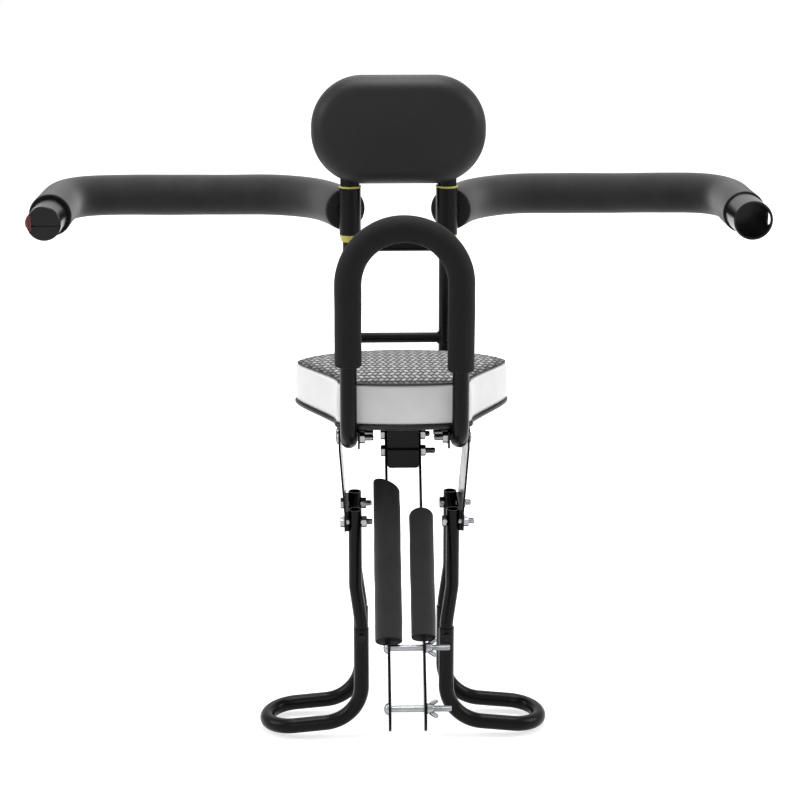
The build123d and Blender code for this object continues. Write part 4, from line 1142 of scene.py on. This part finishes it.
class SEAT_OT_welds(bpy.types.Operator):
    """Runs the weld beads round the rungs' ends and where the arms meet their sleeves"""

    bl_idname = "seat.welds"
    bl_label = "Weld beads"

    def execute(self, context):
        grids = []
        for level in RUNG_LEVELS:
            for side in SIDES.values():
                grids.append(self.bead(RUNG_R, POST_R, (side * POST_X, POST_Y, level), (-side, 0)))
        make_piece("rung_welds", grids, "black_powder_coat", "seat_frame")
        for name, side in SIDES.items():
            away = (side * sin(ARM_SPLAY), cos(ARM_SPLAY))
            grid = self.bead(ARM_TUBE_R, ARM_SLEEVE_R, (side * POST_X, POST_Y, ARM_Z), away)
            make_piece(f"arm_weld_{name}", [grid], "black_powder_coat", f"{name}_arm")
        return {"FINISHED"}

    def bead(self, branch_r, main_r, centre, away):
        """A rippled cord along the curve where a level branch tube meets an upright main tube.

        At angle a round the branch the curve is branch_r*cos(a) aside and branch_r*sin(a) up, and as far
        out as the main tube's round reaches there.
        """
        bead_r, ripple, ripples = 1.1, 0.18, 30
        angle, turn = full_turn(120)[:, None], full_turn(10)[None, :, None]
        out, side = np.array([*away, 0.0]), np.array([-away[1], away[0], 0.0])
        radius = (bead_r + ripple * np.sin(ripples * angle)) * MM
        outward = np.cos(angle) * side + np.sin(angle) * UP
        reach = np.sqrt(main_r**2 - (branch_r * np.cos(angle)) ** 2)
        line = np.array(centre) + reach * out + branch_r * outward
        ring = np.cos(turn) * outward[:, None] + np.sin(turn) * out
        return mixed_grid(line[:, None] + radius[:, None] * ring, True, True)


class SEAT_OT_stage(bpy.types.Operator):
    """Sets the white floor, the soft lamps and the camera"""

    bl_idname = "seat.stage"
    bl_label = "Stage"

    def execute(self, context):
        scene = context.scene
        scene.view_settings.view_transform = "Standard"
        self.world(scene)
        self.floor(scene)
        for name, place, size, power in (
            ("lamp_left", (-2.0, -0.2, 1.1), 1.4, 21),
            ("lamp_right", (2.0, -0.2, 1.1), 1.4, 21),
            ("lamp_top", (0.0, 0.3, 2.2), 1.6, 50),
            ("lamp_front", (-0.5, -2.4, 1.1), 1.2, 6),
            ("lamp_back", (0.0, 2.0, 1.8), 1.4, 10),
        ):
            self.lamp(scene, name, place, size, power)
        self.camera(scene)
        return {"FINISHED"}

    def seen_white(self, tree):
        """One where the camera, a reflection or glass looks, and nought for plain light."""
        path = add(tree, "LightPath").outputs
        seen = path["Is Camera Ray"]
        for ray in ("Is Glossy Ray", "Is Transmission Ray"):
            seen = add(tree, "Math", {"operation": "MAXIMUM"}, {0: seen, 1: path[ray]}).outputs[0]
        return seen

    def world(self, scene):
        """White all round where it is seen, and a weaker fill light."""
        world = bpy.data.worlds.new("white_studio")
        scene.world = world
        world.use_nodes = True
        tree = world.node_tree
        tree.nodes.clear()
        seen = self.seen_white(tree)
        white = add(tree, "Background", None, {"Color": grey(1.0), "Strength": 1.0})
        fill = add(tree, "Background", None, {"Color": grey(1.0), "Strength": 0.3})
        mix = add(tree, "MixShader", None, {0: seen, 1: fill.outputs[0], 2: white.outputs[0]})
        add(tree, "OutputWorld", None, {"Surface": mix.outputs[0]})

    def floor(self, scene):
        """White paper that glows more the further away, so it keeps a soft shadow and shows no horizon."""
        near, far, near_glow, far_glow = 0.5, 1.4, 0.6, 1.0
        half, level = 6.0, CAD_BOX[0].z - 2 * MM
        tree, place = new_finish("white_sweep")
        seen = self.seen_white(tree)
        paper = add(tree, "BsdfDiffuse", None, {"Color": grey(0.8)})
        away = add(tree, "VectorMath", {"operation": "LENGTH"}, {0: place}).outputs["Value"]
        strength = spread(tree, away, near_glow, far_glow, near, far)
        glow = add(tree, "Emission", None, {"Color": grey(1.0), "Strength": strength})
        lit = add(tree, "AddShader", None, {0: paper.outputs[0], 1: glow.outputs[0]})
        close_finish(tree, add(tree, "MixShader", None, {0: seen, 1: paper.outputs[0], 2: lit.outputs[0]}))
        mesh = bpy.data.meshes.new("floor")
        corners = [(-half, -half, level), (half, -half, level), (half, half, level), (-half, half, level)]
        mesh.from_pydata(corners, [], [(0, 1, 2, 3)])
        mesh.materials.append(finish("white_sweep"))
        floor = bpy.data.objects.new("floor", mesh)
        scene.collection.objects.link(floor)

    def lamp(self, scene, name, place, size, power):
        """A round soft lamp that points at the origin."""
        data = bpy.data.lights.new(name, "AREA")
        data.shape, data.size, data.energy = "DISK", size, power
        lamp = bpy.data.objects.new(name, data)
        scene.collection.objects.link(lamp)
        lamp.location = place
        lamp.rotation_euler = (-lamp.location).to_track_quat("-Z", "Y").to_euler()

    def camera(self, scene):
        """Stands 2 m from the target, above it and a little to the left, with a 90 mm lens."""
        target = np.array([-0.0015, 0.045, 0.051])
        azimuth, elevation, far = radians(-1.5), radians(15.5), 2.0
        back = np.array([sin(azimuth) * cos(elevation), -cos(azimuth) * cos(elevation), sin(elevation)])
        data = bpy.data.cameras.new("camera")
        data.lens, data.sensor_width = 90, 36
        camera = bpy.data.objects.new("camera", data)
        scene.collection.objects.link(camera)
        camera.location = target + far * back
        camera.rotation_euler = (pi / 2 - elevation, 0, azimuth)
        scene.camera = camera


OPERATORS = (
    SEAT_OT_finishes, SEAT_OT_frame_finish, SEAT_OT_arm_foam, SEAT_OT_hoop_foam, SEAT_OT_clamp_foam,
    SEAT_OT_back_pad, SEAT_OT_saddle_shell, SEAT_OT_woven_panel, SEAT_OT_bolts, SEAT_OT_wing_nuts,
    SEAT_OT_latch_spring, SEAT_OT_welds, SEAT_OT_stage,
)


class SEAT_PT_panel(bpy.types.Panel):
    """Lists the pieces in the order in which they are made"""

    bl_label = "Child seat"
    bl_idname = "SEAT_PT_panel"
    bl_space_type = "VIEW_3D"
    bl_region_type = "UI"
    bl_category = "Child seat"

    def draw(self, context):
        for group in (context.scene.seat_sizes, context.scene.seat_colours):
            for key in group.__annotations__:
                self.layout.prop(group, key)
        for operator in OPERATORS:
            self.layout.operator(operator.bl_idname)


CLASSES = (SeatSizes, SeatColours, *OPERATORS, SEAT_PT_panel)


def register():
    for cls in CLASSES:
        bpy.utils.register_class(cls)
    bpy.types.Scene.seat_sizes = PointerProperty(type=SeatSizes)
    bpy.types.Scene.seat_colours = PointerProperty(type=SeatColours)


def unregister():
    del bpy.types.Scene.seat_colours
    del bpy.types.Scene.seat_sizes
    for cls in reversed(CLASSES):
        bpy.utils.unregister_class(cls)


def main():
    register()
    for operator in OPERATORS:
        family, name = operator.bl_idname.split(".")
        getattr(getattr(bpy.ops, family), name)()


if __name__ == "__main__":
    main()
